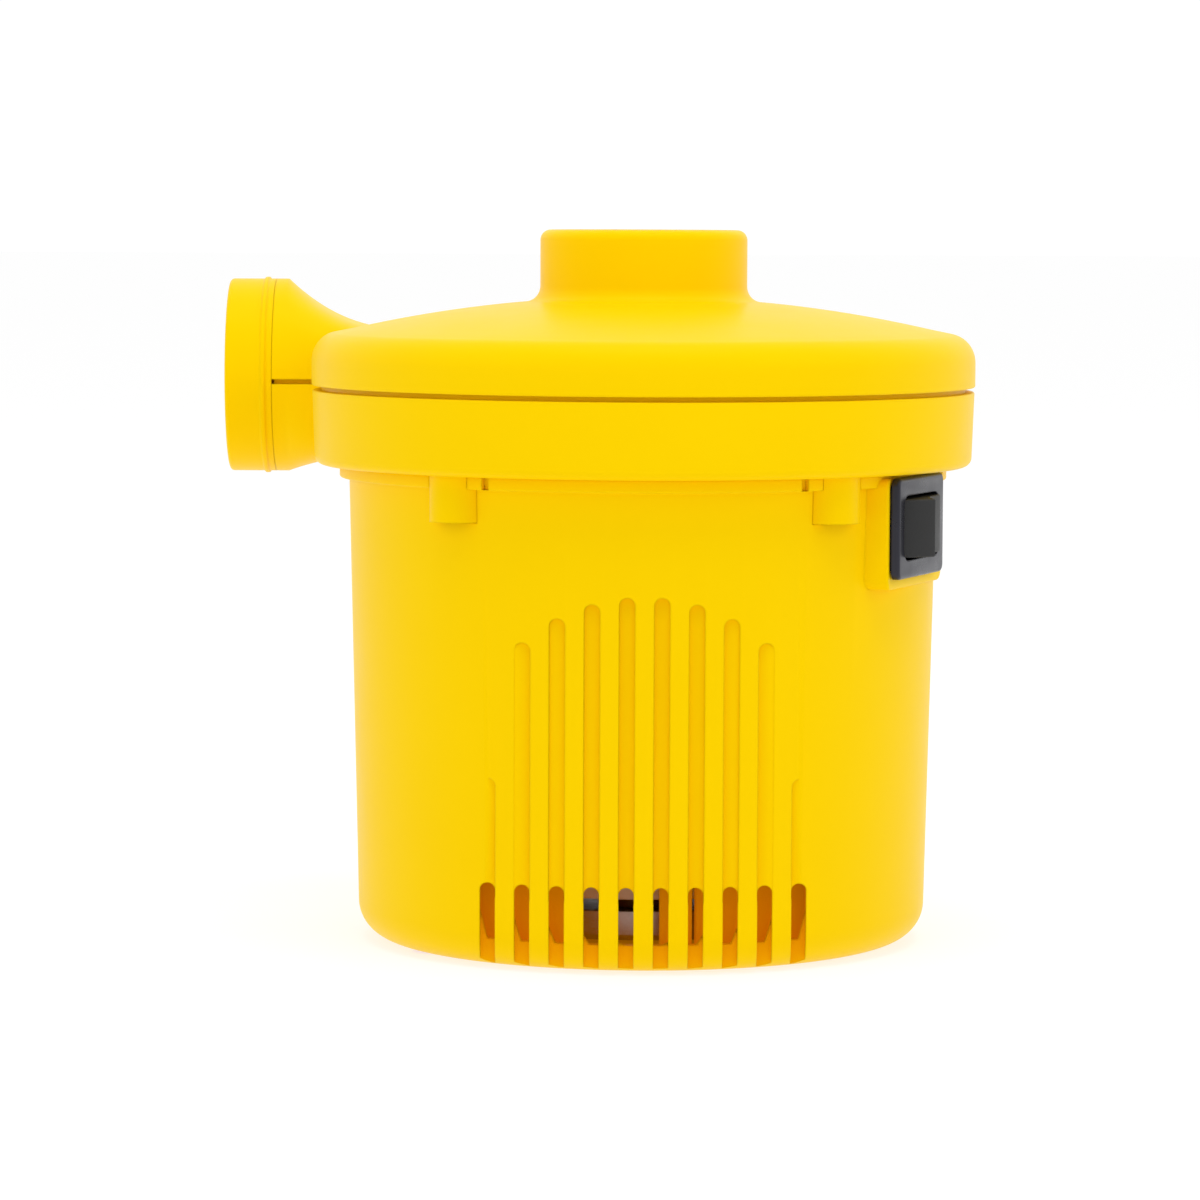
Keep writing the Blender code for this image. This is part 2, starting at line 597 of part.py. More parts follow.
# --- Screws -------------------------------------------------------------------------------------
def screw(name, place, head_z, tip_z, look="steel"):
    """A pan-head screw with a cross recess. The head is at head_z and the shank runs to tip_z."""
    length = abs(tip_z - head_z)
    head = arc((SCREW_HEAD_R - 0.8, -SCREW_HEAD_H + 0.8), 0.8, 0, -90, 1)
    profile = [(0.0, length), (SCREW_R * 0.6, length), (SCREW_R, length - 1.0), (SCREW_R, 0.0)]
    profile += [(SCREW_HEAD_R, 0.0)] + head + [(0.0, -SCREW_HEAD_H)]
    made = turned(name, profile, look, 12)
    for turn in (0, 90):
        cut(made, block(f"{name}_cross_{turn}", (2.8, 0.7, 1.4), (0, 0, -SCREW_HEAD_H), turn=turn))
    made.location = (place[0] * MM, place[1] * MM, head_z * MM)
    if tip_z < head_z:
        made.rotation_euler = (pi, 0, 0)
    for modifier in made.modifiers:
        if modifier.type == "BOOLEAN":
            modifier.object.location = made.location
            modifier.object.rotation_euler = made.rotation_euler
    shade_round(made)
    return made


# --- Motor --------------------------------------------------------------------------------------
def motor():
    shaft = [(0.0, SHAFT_Z[1]), (SHAFT_R, SHAFT_Z[1]), (SHAFT_R, SHAFT_Z[0]), (0.0, SHAFT_Z[0])]
    shade_round(turned("motor_shaft", shaft, "steel", SMALL_STEPS))
    core_outline = []
    for i in range(ROTOR_SLOTS):
        middle = 360.0 * i / ROTOR_SLOTS
        half = 180.0 / ROTOR_SLOTS
        core_outline += [ring_place(ROTOR_R, middle + a) for a in (-half + 3, 0.0, half - 3)]
        core_outline += [ring_place(ROTOR_R - 2.4, middle + a) for a in (half - 3, half + 3)]
    core = prism("armature_core", core_outline, STACK_Z[0] + FIT, STACK_Z[1], "laminations")
    bore_r = SHAFT_R + FIT
    cut(core, rods("core_bore", bore_r, STACK_Z[0] - 1, STACK_Z[1] + 1, [(0, 0)]))
    windings = (("lower", STACK_Z[0] - 5.0, STACK_Z[0]), ("upper", STACK_Z[1] + FIT, STACK_Z[1] + 5.3))
    for name, low, high in windings:
        coil = arc((7.6, (low + high) / 2), (3.0, (high - low) / 2), 90, -90, 4)
        coil += [(bore_r, low), (bore_r, high)]
        shade_round(turned(f"armature_winding_{name}", coil, "copper", SMALL_STEPS))
    low, high = CARRIER_Z[1] + 1.0, STACK_Z[0] - 5.3
    bars = [(COMMUTATOR_R, high - 1.2), (COMMUTATOR_R, low), (bore_r, low), (bore_r, high)]
    bars = [(COMMUTATOR_R + 0.8, high), (COMMUTATOR_R + 0.8, high - 1.2)] + bars
    shade_round(turned("commutator", bars, "copper", SMALL_STEPS))

    stator = prism(
        "stator_core", rounded_rectangle(2 * STATOR[0], 2 * STATOR[1], 5.0), *STACK_Z, "laminations"
    )
    middle = sum(STACK_Z) / 2
    height = STACK_Z[1] - STACK_Z[0] + 2
    cut(stator, rods("stator_bore", STATOR_BORE, STACK_Z[0] - 1, STACK_Z[1] + 1, [(0, 0)], steps=36))
    for side in (-1, 1):
        width = POCKET[0] - POLE_HALF
        place = (side * (POLE_HALF + width / 2), 0, middle)
        cut(stator, block(f"pocket_{side}", (width, 2 * POCKET[1], height), place))
    cut(stator, rods("bolt_holes", CLEAR_R, STACK_Z[0] - 1, STACK_Z[1] + 1, BOLTS, steps=12))
    for side, name in ((-1, "front"), (1, "rear")):
        y = side * (POCKET[1] - FIT - 2.2)
        window = prism(
            f"field_coil_{name}", rounded_rectangle(27.0, 34.0, 4.0), -2.2, 2.2, "copper",
            place=Matrix.Translation((0, y, middle)) @ Matrix.Rotation(pi / 2, 4, "X"),
        )
        size = (2 * POLE_HALF + 2 * FIT, 8.0, STACK_Z[1] - STACK_Z[0] + 2 * FIT)
        cut(window, block(f"coil_window_{name}", size, (0, y, middle)))

    bush_r = 4.0
    for name, z in (("lower", BELL_Z), ("upper", BRACKET_Z[0])):
        plate = 1.2 if name == "lower" else BRACKET_Z[1] - BRACKET_Z[0]
        hole = SHAFT_R + BORE_GAP
        top = z + plate + FIT
        bush = [(bush_r + 1.5, top + 1.0), (bush_r + 1.5, top), (bush_r, top), (bush_r, z)]
        bush += [(hole, z), (hole, top + 1.0)]
        shade_round(turned(f"bearing_{name}", bush, "bronze", SMALL_STEPS))

    rim = BELL_R - 1.2
    bell = [(BELL_R, BELL_RIM_Z), (BELL_R, BELL_Z + 0.8), (BELL_R - 0.8, BELL_Z), (bush_r + FIT, BELL_Z)]
    bell += [(bush_r + FIT, BELL_Z + 1.2), (rim, BELL_Z + 1.2), (rim, BELL_RIM_Z)]
    end_bell = turned("motor_end_bell", bell, "steel", 40)
    cut(end_bell, rods("bell_holes", CLEAR_R, BELL_Z - 1, BELL_Z + 2, BOLTS, steps=12))
    shade_round(end_bell)

    bracket = prism("motor_bracket", rounded_rectangle(52.0, 46.0, 6.0), *BRACKET_Z, "steel")
    join(bracket, rods("bracket_legs", 3.2, STACK_Z[1] + FIT, BRACKET_Z[1] - 0.5, BOLTS))
    cut(bracket, rods("bracket_bolts", CLEAR_R, STACK_Z[1], BRACKET_Z[1] + 1, BOLTS, steps=12))
    cut(bracket, rods("bracket_posts", CLEAR_R, BRACKET_Z[0] - 1, BRACKET_Z[1] + 1, MOTOR_POSTS, steps=12))
    cut(bracket, rods("bracket_bearing", bush_r + FIT, BRACKET_Z[0] - 1, BRACKET_Z[1] + 1, [(0, 0)]))

    disc = [(BELL_R, CARRIER_Z[1]), (BELL_R, CARRIER_Z[0]), (7.5, CARRIER_Z[0]), (7.5, CARRIER_Z[1])]
    carrier = turned("brush_carrier", disc, "white_nylon", 36)
    join(carrier, rods("carrier_columns", 3.2, BELL_Z + 1.2 + FIT, STACK_Z[0] - FIT, BOLTS))
    for side in (-1, 1):
        seat = (9.0, 7.0, BRUSH_Z - 3.0 - FIT - CARRIER_Z[1] + 0.5)
        place = (side * 12.5, 0, CARRIER_Z[1] - 0.5 + seat[2] / 2)
        join(carrier, block(f"brush_seat_{side}", seat, place))
    cut(carrier, rods("carrier_holes", CLEAR_R, BELL_Z, STACK_Z[0] + 1, BOLTS, steps=12))
    shade_round(carrier)

    for side, name in ((-1, "left"), (1, "right")):
        holder = block(f"brush_holder_{name}", (10.8, 6.0, 6.0), (side * 12.2, 0, BRUSH_Z), "brass")
        cut(holder, block(f"holder_bore_{name}", (10.8, 4.6, 4.6), (side * 11.4, 0, BRUSH_Z)))
        start = COMMUTATOR_R + 0.12
        size = 6.8
        block(f"carbon_brush_{name}", (size, 4.0, 4.0), (side * (start + size / 2), 0, BRUSH_Z), "carbon")
        coil = []
        first = start + size + 0.7
        length = 16.8 - 0.6 - first
        turns, per_turn = 3, 6
        for k in range(turns * per_turn + 1):
            t = k / (turns * per_turn)
            angle = 2 * pi * turns * t
            coil.append((side * (first + length * t), 1.5 * cos(angle), BRUSH_Z + 1.5 * sin(angle)))
        wire(f"brush_spring_{name}", coil, 0.25, "steel")


def wire(name, points, radius, look):
    """A round wire through the points, with closed ends."""
    curve = bpy.data.curves.new(name, "CURVE")
    curve.dimensions = "3D"
    curve.bevel_depth = radius * MM
    curve.bevel_resolution = 2
    curve.use_fill_caps = True
    spline = curve.splines.new("POLY")
    spline.points.add(len(points) - 1)
    for point, where in zip(spline.points, points):
        point.co = (where[0] * MM, where[1] * MM, where[2] * MM, 1.0)
    made = bpy.data.objects.new(name, curve)
    curve.materials.append(MATERIALS[look])
    PARTS.objects.link(made)
    return made


# --- Fan ----------------------------------------------------------------------------------------
def impeller():
    plate = [(0.0, FAN_HUB_TOP), (5.5, FAN_HUB_TOP), (6.5, FAN_Z[1]), (FAN_R, FAN_Z[1])]
    plate += [(FAN_R, FAN_Z[0]), (0.0, FAN_Z[0])]
    fan = turned("impeller", plate, "white_nylon", 40)
    bm = bmesh.new()
    for i in range(FAN_BLADES):
        base = 360.0 / FAN_BLADES * i
        front, back = [], []
        for k in range(7):
            t = k / 6
            r = 11.0 + (FAN_R - 0.3 - 11.0) * t
            sweep = base - 46.0 * t**0.85
            offset = degrees_for(0.6, r)
            front.append((*ring_place(r, sweep + offset), t))
            back.append((*ring_place(r, sweep - offset), t))
        outline = front + back[::-1]
        low = [bm.verts.new((x, y, FAN_Z[1] - 0.5)) for x, y, _ in outline]
        high = [bm.verts.new((x, y, FAN_TOP + 1.5 * (1 - t))) for x, y, t in outline]
        bm.faces.new(low)
        bm.faces.new(list(reversed(high)))
        for k in range(len(outline)):
            n = (k + 1) % len(outline)
            bm.faces.new((low[k], low[n], high[n], high[k]))
    join(fan, add("blades", bm))
    cut(fan, rods("fan_bore", SHAFT_R + FIT, FAN_Z[0] - 1, FAN_HUB_TOP + 1, [(0, 0)]))
    shade_round(fan)
    washer = FAN_HUB_TOP + FIT
    flat = [(4.2, washer + 0.8), (4.2, washer), (SHAFT_R + FIT, washer), (SHAFT_R + FIT, washer + 0.8)]
    shade_round(turned("impeller_washer", flat, "steel", SMALL_STEPS))
    low = washer + 0.8 + FIT
    bm = bmesh.new()
    shift = Matrix.Translation((0, 0, low + 1.2))
    bmesh.ops.create_cone(bm, cap_ends=True, segments=6, radius1=3.3, radius2=3.3, depth=2.4, matrix=shift)
    nut = add("impeller_nut", bm, "brass", smooth=False)
    cut(nut, rods("nut_bore", SHAFT_R + FIT, low - 1, low + 4, [(0, 0)]))


def degrees_for(length, radius):
    return length / radius * 180 / pi


# --- Switch -------------------------------------------------------------------------------------
def switch():
    place = switch_place(SWITCH_E, SWITCH_Z, SWITCH_PLANE)
    face = rounded_rectangle(FLANGE[0], FLANGE[1], 1.2)
    housing = prism(
        "switch_housing", face, FIT, FIT + FLANGE[2], "black_plastic", place=place, smooth=True
    )
    sides = rounded_rectangle(SWITCH_BOX[0], SWITCH_BOX[1], 0.6)
    body = prism("switch_box", sides, -SWITCH_BOX[2], FIT + 0.4, place=place)
    join(housing, body)
    opening = rounded_rectangle(*ROCKER_OPENING, 1.4)
    cut(housing, prism("rocker_opening", opening, -2.0, FIT + FLANGE[2] + 1, place=place))
    room = rounded_rectangle(18.3, ROCKER_OPENING[1] + 0.6, 0.4)
    cut(housing, prism("rocker_room", room, -SWITCH_BOX[2] + 1.2, 0.2, place=place))
    shade_round(housing)
    rocker()
    for side, name in ((-1, "near"), (1, "far")):
        where = switch_place(SWITCH_E + side * 4.7, SWITCH_Z, SWITCH_PLANE - SWITCH_BOX[2] - FIT)
        prism(
            f"switch_terminal_{name}", rounded_rectangle(4.8, 0.8, 0.2, 2), -7.0, 0.0, "brass", place=where
        )


def rocker():
    """A rocker whose ends are arcs about its pivot, with a shallow V on top, held down at its far end."""
    r = ROCKER_SWING_R
    right = arc((0, 0), r, 5, 47, 6)
    left = [(-x, y) for x, y in reversed(right)]
    outline = right + [(0.0, right[-1][1] - 1.25)] + left
    outline += [(-6.4, 0.4), (-2.0, -0.6), (-1.2, -3.4), (1.2, -3.4), (2.0, -0.6), (6.4, 0.4)]
    bm = bmesh.new()
    face = bm.faces.new([bm.verts.new((e * MM, -ROCKER_Z_HALF * MM, p * MM)) for e, p in outline])
    swept = bmesh.ops.extrude_face_region(bm, geom=[face])
    top = [item for item in swept["geom"] if isinstance(item, bmesh.types.BMVert)]
    bmesh.ops.translate(bm, vec=(0, 2 * ROCKER_Z_HALF * MM, 0), verts=top)
    bmesh.ops.recalc_face_normals(bm, faces=bm.faces)
    mesh = bpy.data.meshes.new("switch_rocker")
    bm.to_mesh(mesh)
    bm.free()
    made = bpy.data.objects.new("switch_rocker", mesh)
    finish(made, "rocker_plastic")
    soften = made.modifiers.new("soften", "BEVEL")
    soften.width = 0.35 * MM
    soften.segments = 2
    soften.limit_method = "ANGLE"
    soften.angle_limit = radians(40)
    pivot = bpy.data.objects.new("rocker_pivot", None)
    PARTS.objects.link(pivot)
    where = switch_place(SWITCH_E, SWITCH_Z, ROCKER_PIVOT)
    where.translation *= MM
    pivot.matrix_world = where @ Matrix.Rotation(radians(ROCKER_REST), 4, "Y")
    made.parent = pivot


# --- Cord inlet and leads -----------------------------------------------------------------------
def cord_gland():
    """The grommet that the mains cord passes through, its flanges on both sides of the wall."""
    face = body_radius(GLAND_Z) + FIT
    back = body_radius(GLAND_Z) - BODY_WALL - 1.0
    profile = [(GLAND_HOLE_R, face + 1.8), (5.4, face + 1.8), (6.2, face + 1.0), (6.2, face)]
    profile += [(GLAND_NECK_R, face), (GLAND_NECK_R, back), (5.6, back), (5.6, back - 1.4)]
    profile += [(GLAND_HOLE_R, back - 1.4)]
    gland = turned("cord_gland", profile, "rubber", SMALL_STEPS)
    gland.rotation_euler = (radians(-90), 0, 0)
    gland.location = (0, 0, GLAND_Z * MM)
    shade_round(gland)


def leads():
    far = SWITCH @ Vector((SWITCH_E + 4.7, 0, SWITCH_PLANE - SWITCH_BOX[2] - 8.4))
    near = SWITCH @ Vector((SWITCH_E - 4.7, 0, SWITCH_PLANE - SWITCH_BOX[2] - 8.4))
    inside = BODY_TOP_R - 6.4  # just inside the grommet
    live = [(1.6, inside, GLAND_Z + 1.0)]
    live += [(*ring_place(COLUMN_RING - 5.3, a), GLAND_Z + 3.5) for a in (165, 150, 135, 120, 106, 96)]
    live += [(far.x, far.y, SWITCH_Z + 1.0)]
    wire("lead_live", live, LEAD_R, "wire_red")
    switched = [(near.x, near.y, SWITCH_Z), (near.x - 1.5, near.y - 1.5, SWITCH_Z - 0.5)]
    low = BRACKET_Z[0]
    switched += [(17.5, -26.0, low + 2.0), (12.0, -26.6, low - 1.5), (9.0, -18.4, low - 4.2)]
    wire("lead_switched", switched, LEAD_R, "wire_black")
    neutral = [(-1.6, inside, GLAND_Z - 1.0), (-3.0, inside - 3.5, GLAND_Z - 1.5), (-4.5, 27.5, low)]
    neutral += [(-6.0, 24.8, low - 2.5), (-8.0, 20.6, low - 4.5)]
    wire("lead_neutral", neutral, LEAD_R, "wire_blue")


body_shell()
fan_housing()
top_cover()
inlet_grille()
outlet_nozzle()
motor()
impeller()
switch()
cord_gland()
leads()
for number, peg in enumerate(PEGS):
    screw(f"cover_screw_{number + 1}", peg, PEG_Z + PEG_WELL_DEPTH - FIT, DOME_Z - 9.5)
for number, column in enumerate(COLUMNS):
    screw(f"body_screw_{number + 1}", column, COLUMN_Z - WELL_DEPTH - FIT, DRUM_Z - 1.2)
for (bolt_x, bolt_y), side_name in zip(BOLTS, ("left", "right")):
    screw(f"motor_bolt_{side_name}", (bolt_x, bolt_y), BRACKET_Z[1] + FIT, BELL_Z + 0.2)
for post, side_name in zip(MOTOR_POSTS, ("front", "rear")):
    screw(f"motor_screw_{side_name}", post, BRACKET_Z[0] - FIT, DRUM_Z - 1.2)
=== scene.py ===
"""The pump's finished look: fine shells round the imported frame, their materials, the light and the camera.

Shapes are worked out in millimetres, in the frame of the CAD, and MM turns them into metres.
"""

import json
from math import acos, atan2, cos, pi, radians, sin, sqrt, tan

import bmesh
import bpy
from mathutils import Matrix, Vector


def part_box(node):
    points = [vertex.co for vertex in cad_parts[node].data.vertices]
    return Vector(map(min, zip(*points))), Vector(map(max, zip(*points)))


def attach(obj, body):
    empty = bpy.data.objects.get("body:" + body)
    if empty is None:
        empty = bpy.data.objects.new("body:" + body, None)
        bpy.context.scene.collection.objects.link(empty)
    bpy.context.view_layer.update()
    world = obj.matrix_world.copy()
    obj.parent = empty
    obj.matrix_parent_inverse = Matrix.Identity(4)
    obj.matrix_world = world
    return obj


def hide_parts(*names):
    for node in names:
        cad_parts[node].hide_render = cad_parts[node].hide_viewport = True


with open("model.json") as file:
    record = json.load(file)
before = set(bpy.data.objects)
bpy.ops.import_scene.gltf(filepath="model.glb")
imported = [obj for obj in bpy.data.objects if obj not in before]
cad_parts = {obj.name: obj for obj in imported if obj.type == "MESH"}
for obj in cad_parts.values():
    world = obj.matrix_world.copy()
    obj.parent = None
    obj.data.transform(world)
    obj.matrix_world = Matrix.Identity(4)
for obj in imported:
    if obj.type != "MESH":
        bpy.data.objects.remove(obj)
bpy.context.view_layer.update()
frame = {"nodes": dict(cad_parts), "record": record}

MM = 0.001
FIT = 0.3
TOUCH = 0.03  # what is left of the gaps between resting pieces
STEPS = 192
SMALL_STEPS = 48


def sized(node):
    low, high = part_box(node)
    return low / MM, high / MM


BODY_HIGH = sized("body_shell")[1]
DRUM_HIGH = sized("fan_housing")[1]
COVER_HIGH = sized("top_cover")[1]
NOZZLE_LOW, NOZZLE_HIGH = sized("outlet_nozzle")
GRILLE_LOW, GRILLE_HIGH = sized("inlet_grille")
GLAND_LOW, GLAND_HIGH = sized("cord_gland")
FAN_LOW, FAN_HIGH = sized("impeller")
SWITCH_LOW, SWITCH_HIGH = sized("switch_housing")

# Body
BODY_TOP_R = 42.9
BODY_BASE_R = 41.5
BODY_WALL = 2.2
BASE_FILLET = 5.4
FLOOR_T = 2.4
SKIRT_R = 44.3
SKIRT_Z = 67.4
BODY_TOP_Z = BODY_HIGH.z
DRUM_Z = BODY_TOP_Z + FIT
SILL_Z = 3.8
SILL_R = (36.6, 38.6)

# Vents
VENT_PITCH = 4.85
VENT_W = 2.1
VENT_COUNT = 10
VENT_DEPTH = 1.0
WINDOW_Z = 12.2
ARCH_R = 25.0
ARCH_Z = 27.9
OUTER_VENT_Z = 27.0
SKIRT_GAP_AZIMUTH = 30.15
SKIRT_GAP_W = 1.1
BAFFLE_R = (34.2, 35.4)
BAFFLE_Z = 15.0
BAFFLE_ARCS = ((-42.0, -14.4), (3.8, 11.2), (12.2, 42.0))

# Drum, cover and outlet
DRUM_R = DRUM_HIGH.x
DRUM_LOW_R = DRUM_R - 0.35
DRUM_FLOOR = 2.25
CHAMBER_R = 45.4
SEAM_Z = (80.05, 80.75)
TONGUE_R = 47.0
TONGUE_Z = DRUM_HIGH.z
COVER_R = COVER_HIGH.x
COVER_T = 2.2
SHOULDER = (4.0, 4.2)
DOME_Z = 93.1
DOME_R = 15.0
DOME_SLOPE = 0.075
DOME_CURVE = 0.0028
COLLAR_R = 15.1
COLLAR_Z = COVER_HIGH.z
COLLAR_LIP = 1.5
COLLAR_FILLET = 2.3
INLET_R = 13.0
LEDGE_R = 12.0
LEDGE_Z = GRILLE_LOW.z - FIT
OUTLET_Y = (NOZZLE_LOW.y + NOZZLE_HIGH.y) / 2
OUTLET_Z = (NOZZLE_LOW.z + NOZZLE_HIGH.z) / 2
OUTLET_R = 14.65
OUTLET_END_X = NOZZLE_LOW.x
OUTLET_JOINT_X = -55.6
BEAD_X = -57.0
BEAD_R = OUTLET_R + 0.28
DUCT_WALL = 2.0
DUCT_TONGUE_INSET = 1.15
DUCT_START_X = -6.0
DUCT_BORE_X = -22.5
DUCT_TOP_Z = 88.0
FLARE_X = (-36.0, -53.8)
FLARE_POWER = 2.3
DUCT_SQUARENESS = 6.0
DUCT_SIDES = 96
FLARE_STATIONS = 26

# Grille
SPOKES = 6
SPOKE_W = 1.2

# Fixings
SCREW_R = 1.5
WELL_R = 2.9
PEG_R = 4.05
PEG_RING = 41.9
PEG_Z = 62.7
PEG_AZIMUTHS = (-38.5, 38.5, 155.0, -155.0)
COLUMN_R = 3.8
COLUMN_RING = 34.6
COLUMN_Z = 58.3
COLUMN_AZIMUTHS = (-60.0, 100.0, 145.0, -145.0)
MOTOR_POST_Y = 18.0
MOTOR_POST_LOW = 59.8

# Fan
FAN_R = FAN_HIGH.x
FAN_Z = (FAN_LOW.z, FAN_LOW.z + 1.4)
FAN_TOP = 84.5
FAN_HUB_TOP = 82.0
FAN_BLADES = 8
BLADE_START_R = 11.0
BLADE_HALF_T = 0.6
BLADE_SWEEP = 46.0

# Switch: e along the face, p out of it, z up
SWITCH_AZIMUTH = 69.0
SWITCH_E = -5.3
SWITCH_Z = (SWITCH_LOW.z + SWITCH_HIGH.z) / 2
SWITCH_PLANE = 42.9
FLANGE = (21.0, 14.3, 1.2)
SWITCH_BOX = (19.8, 12.0, 12.0)
ROCKER_OPENING = (16.6, 9.2)
ROCKER_OPENING_CORNER = 1.9
ROCKER_Z_HALF = 4.1
ROCKER_DIP = 1.25
ROCKER_ROUND = 0.9
ROCKER_SWING_R = 8.6
ROCKER_PIVOT = 40.2
ROCKER_REST = 14.0
BOSS_E = (-16.3, 9.0)
BOSS_Z = 53.0

# Gland
GLAND_Z = (GLAND_LOW.z + GLAND_HIGH.z) / 2
GLAND_HOLE_R = 3.3
GLAND_NECK_R = 4.6
GLAND_HEAD_R = 6.2
GLAND_CATCH_R = 5.6


# --- Materials ----------------------------------------------------------------------------------
def shader_of(name):
    made = bpy.data.materials.new(name)
    made.use_nodes = True
    return made, made.node_tree, made.node_tree.nodes["Principled BSDF"]


def node(tree, kind, **inputs):
    """A node of the kind, with its sockets set or, where the value is an output, linked."""
    made = tree.nodes.new(kind)
    for key, value in inputs.items():
        socket = made.inputs[int(key[1:])] if key[0] == "_" else made.inputs[key.replace("_", " ")]
        if isinstance(value, bpy.types.NodeSocket):
            tree.links.new(value, socket)
        else:
            socket.default_value = value
    return made


def noise(tree, where, scale, detail=3.0, roughness=0.55):
    made = node(tree, "ShaderNodeTexNoise", Vector=where, Scale=scale, Detail=detail, Roughness=roughness)
    return made.outputs["Fac"]


def spread(tree, value, low, high, start=0.0, end=1.0):
    """Moves a value from start..end to low..high, clamped."""
    made = node(tree, "ShaderNodeMapRange", _0=value, _1=start, _2=end, _3=low, _4=high)
    return made.outputs[0]


def mixed(tree, share, first, second):
    made = tree.nodes.new("ShaderNodeMix")
    made.data_type = "RGBA"
    for socket, value in ((0, share), (6, first), (7, second)):
        if isinstance(value, bpy.types.NodeSocket):
            tree.links.new(value, made.inputs[socket])
        else:
            made.inputs[socket].default_value = value if socket == 0 else (*value, 1.0)
    return made.outputs[2]


def soft_edges(tree, radius):
    """A normal that rounds edges by the radius, and how strongly each point lies on an edge."""
    bevel = tree.nodes.new("ShaderNodeBevel")
    bevel.samples = 4
    bevel.inputs["Radius"].default_value = radius
    plain = tree.nodes.new("ShaderNodeNewGeometry")
    dot = tree.nodes.new("ShaderNodeVectorMath")
    dot.operation = "DOT_PRODUCT"
    tree.links.new(bevel.outputs[0], dot.inputs[0])
    tree.links.new(plain.outputs["Normal"], dot.inputs[1])
    return bevel.outputs[0], spread(tree, dot.outputs["Value"], 1.0, 0.0, 0.55, 0.995)


def moulded(
    name, colour, shade, roughness, grain=0.02, grain_scale=1400.0,
    edge=None, tint=None, ior=1.5, uneven=1.0, painted_glow=None,
):
    """Moulded plastic: faint flow marks in its colour, uneven gloss, a fine skin, and rubbed edges; where
    asked, a painted glow.
    """
    made, tree, shader = shader_of(name)
    where = tree.nodes.new("ShaderNodeTexCoord").outputs["Object"]
    cloud = noise(tree, where, 38.0, 4.0)
    base = mixed(tree, spread(tree, cloud, 0.0, 1.0, 0.35, 0.68), colour, shade)
    normal, on_edge = soft_edges(tree, 0.00035)
    wear = spread(tree, noise(tree, where, 420.0, 4.0), 0.0, 0.5, 0.4, 0.62)
    rubbed = node(tree, "ShaderNodeMath", _0=on_edge, _1=wear)
    rubbed.operation = "MULTIPLY"
    base = mixed(tree, rubbed.outputs[0], base, edge or colour)
    tree.links.new(base, shader.inputs["Base Color"])
    smears = noise(tree, where, 130.0, 5.0, 0.65)
    gloss = spread(tree, smears, roughness - 0.05 * uneven, roughness + 0.09 * uneven, 0.3, 0.7)
    tree.links.new(gloss, shader.inputs["Roughness"])
    skin = noise(tree, where, grain_scale, 4.0, 0.6)
    waves = noise(tree, where, 55.0, 2.0)
    swell = node(tree, "ShaderNodeBump", Strength=0.03, Distance=0.0006, Height=waves, Normal=normal)
    fine = node(tree, "ShaderNodeBump", Strength=grain, Distance=0.0001, Height=skin, Normal=swell.outputs[0])
    tree.links.new(fine.outputs[0], shader.inputs["Normal"])
    shader.inputs["IOR"].default_value = ior
    if tint:
        shader.inputs["Specular Tint"].default_value = (*tint, 1.0)
    # Emission here is a painted glow: the surface gives out light in place of light that would reach it
    # through the wall.
    if painted_glow:
        shader.inputs["Emission Color"].default_value = (*painted_glow[0], 1.0)
        shader.inputs["Emission Strength"].default_value = painted_glow[1]
    return made


def metal(name, colour, shade, roughness, streaks=(1.0, 1.0, 14.0), stain=None):
    """Drawn or stamped metal: fine streaks in gloss and relief, with stains."""
    made, tree, shader = shader_of(name)
    where = tree.nodes.new("ShaderNodeTexCoord").outputs["Object"]
    along = node(tree, "ShaderNodeMapping", Vector=where)
    along.inputs["Scale"].default_value = streaks
    lines = noise(tree, along.outputs[0], 700.0, 4.0)
    blotch = noise(tree, where, 210.0, 5.0, 0.7)
    base = mixed(tree, spread(tree, blotch, 0.0, 1.0, 0.38, 0.62), colour, shade)
    if stain:
        stained = spread(tree, noise(tree, where, 95.0, 4.0), 0.0, 0.6, 0.5, 0.66)
        base = mixed(tree, stained, base, stain)
    tree.links.new(base, shader.inputs["Base Color"])
    gloss = spread(tree, lines, roughness - 0.08, roughness + 0.14, 0.3, 0.7)
    tree.links.new(gloss, shader.inputs["Roughness"])
    normal, _ = soft_edges(tree, 0.0002)
    relief = node(tree, "ShaderNodeBump", Strength=0.08, Distance=0.0001, Height=lines, Normal=normal)
    tree.links.new(relief.outputs[0], shader.inputs["Normal"])
    shader.inputs["Metallic"].default_value = 1.0
    return made


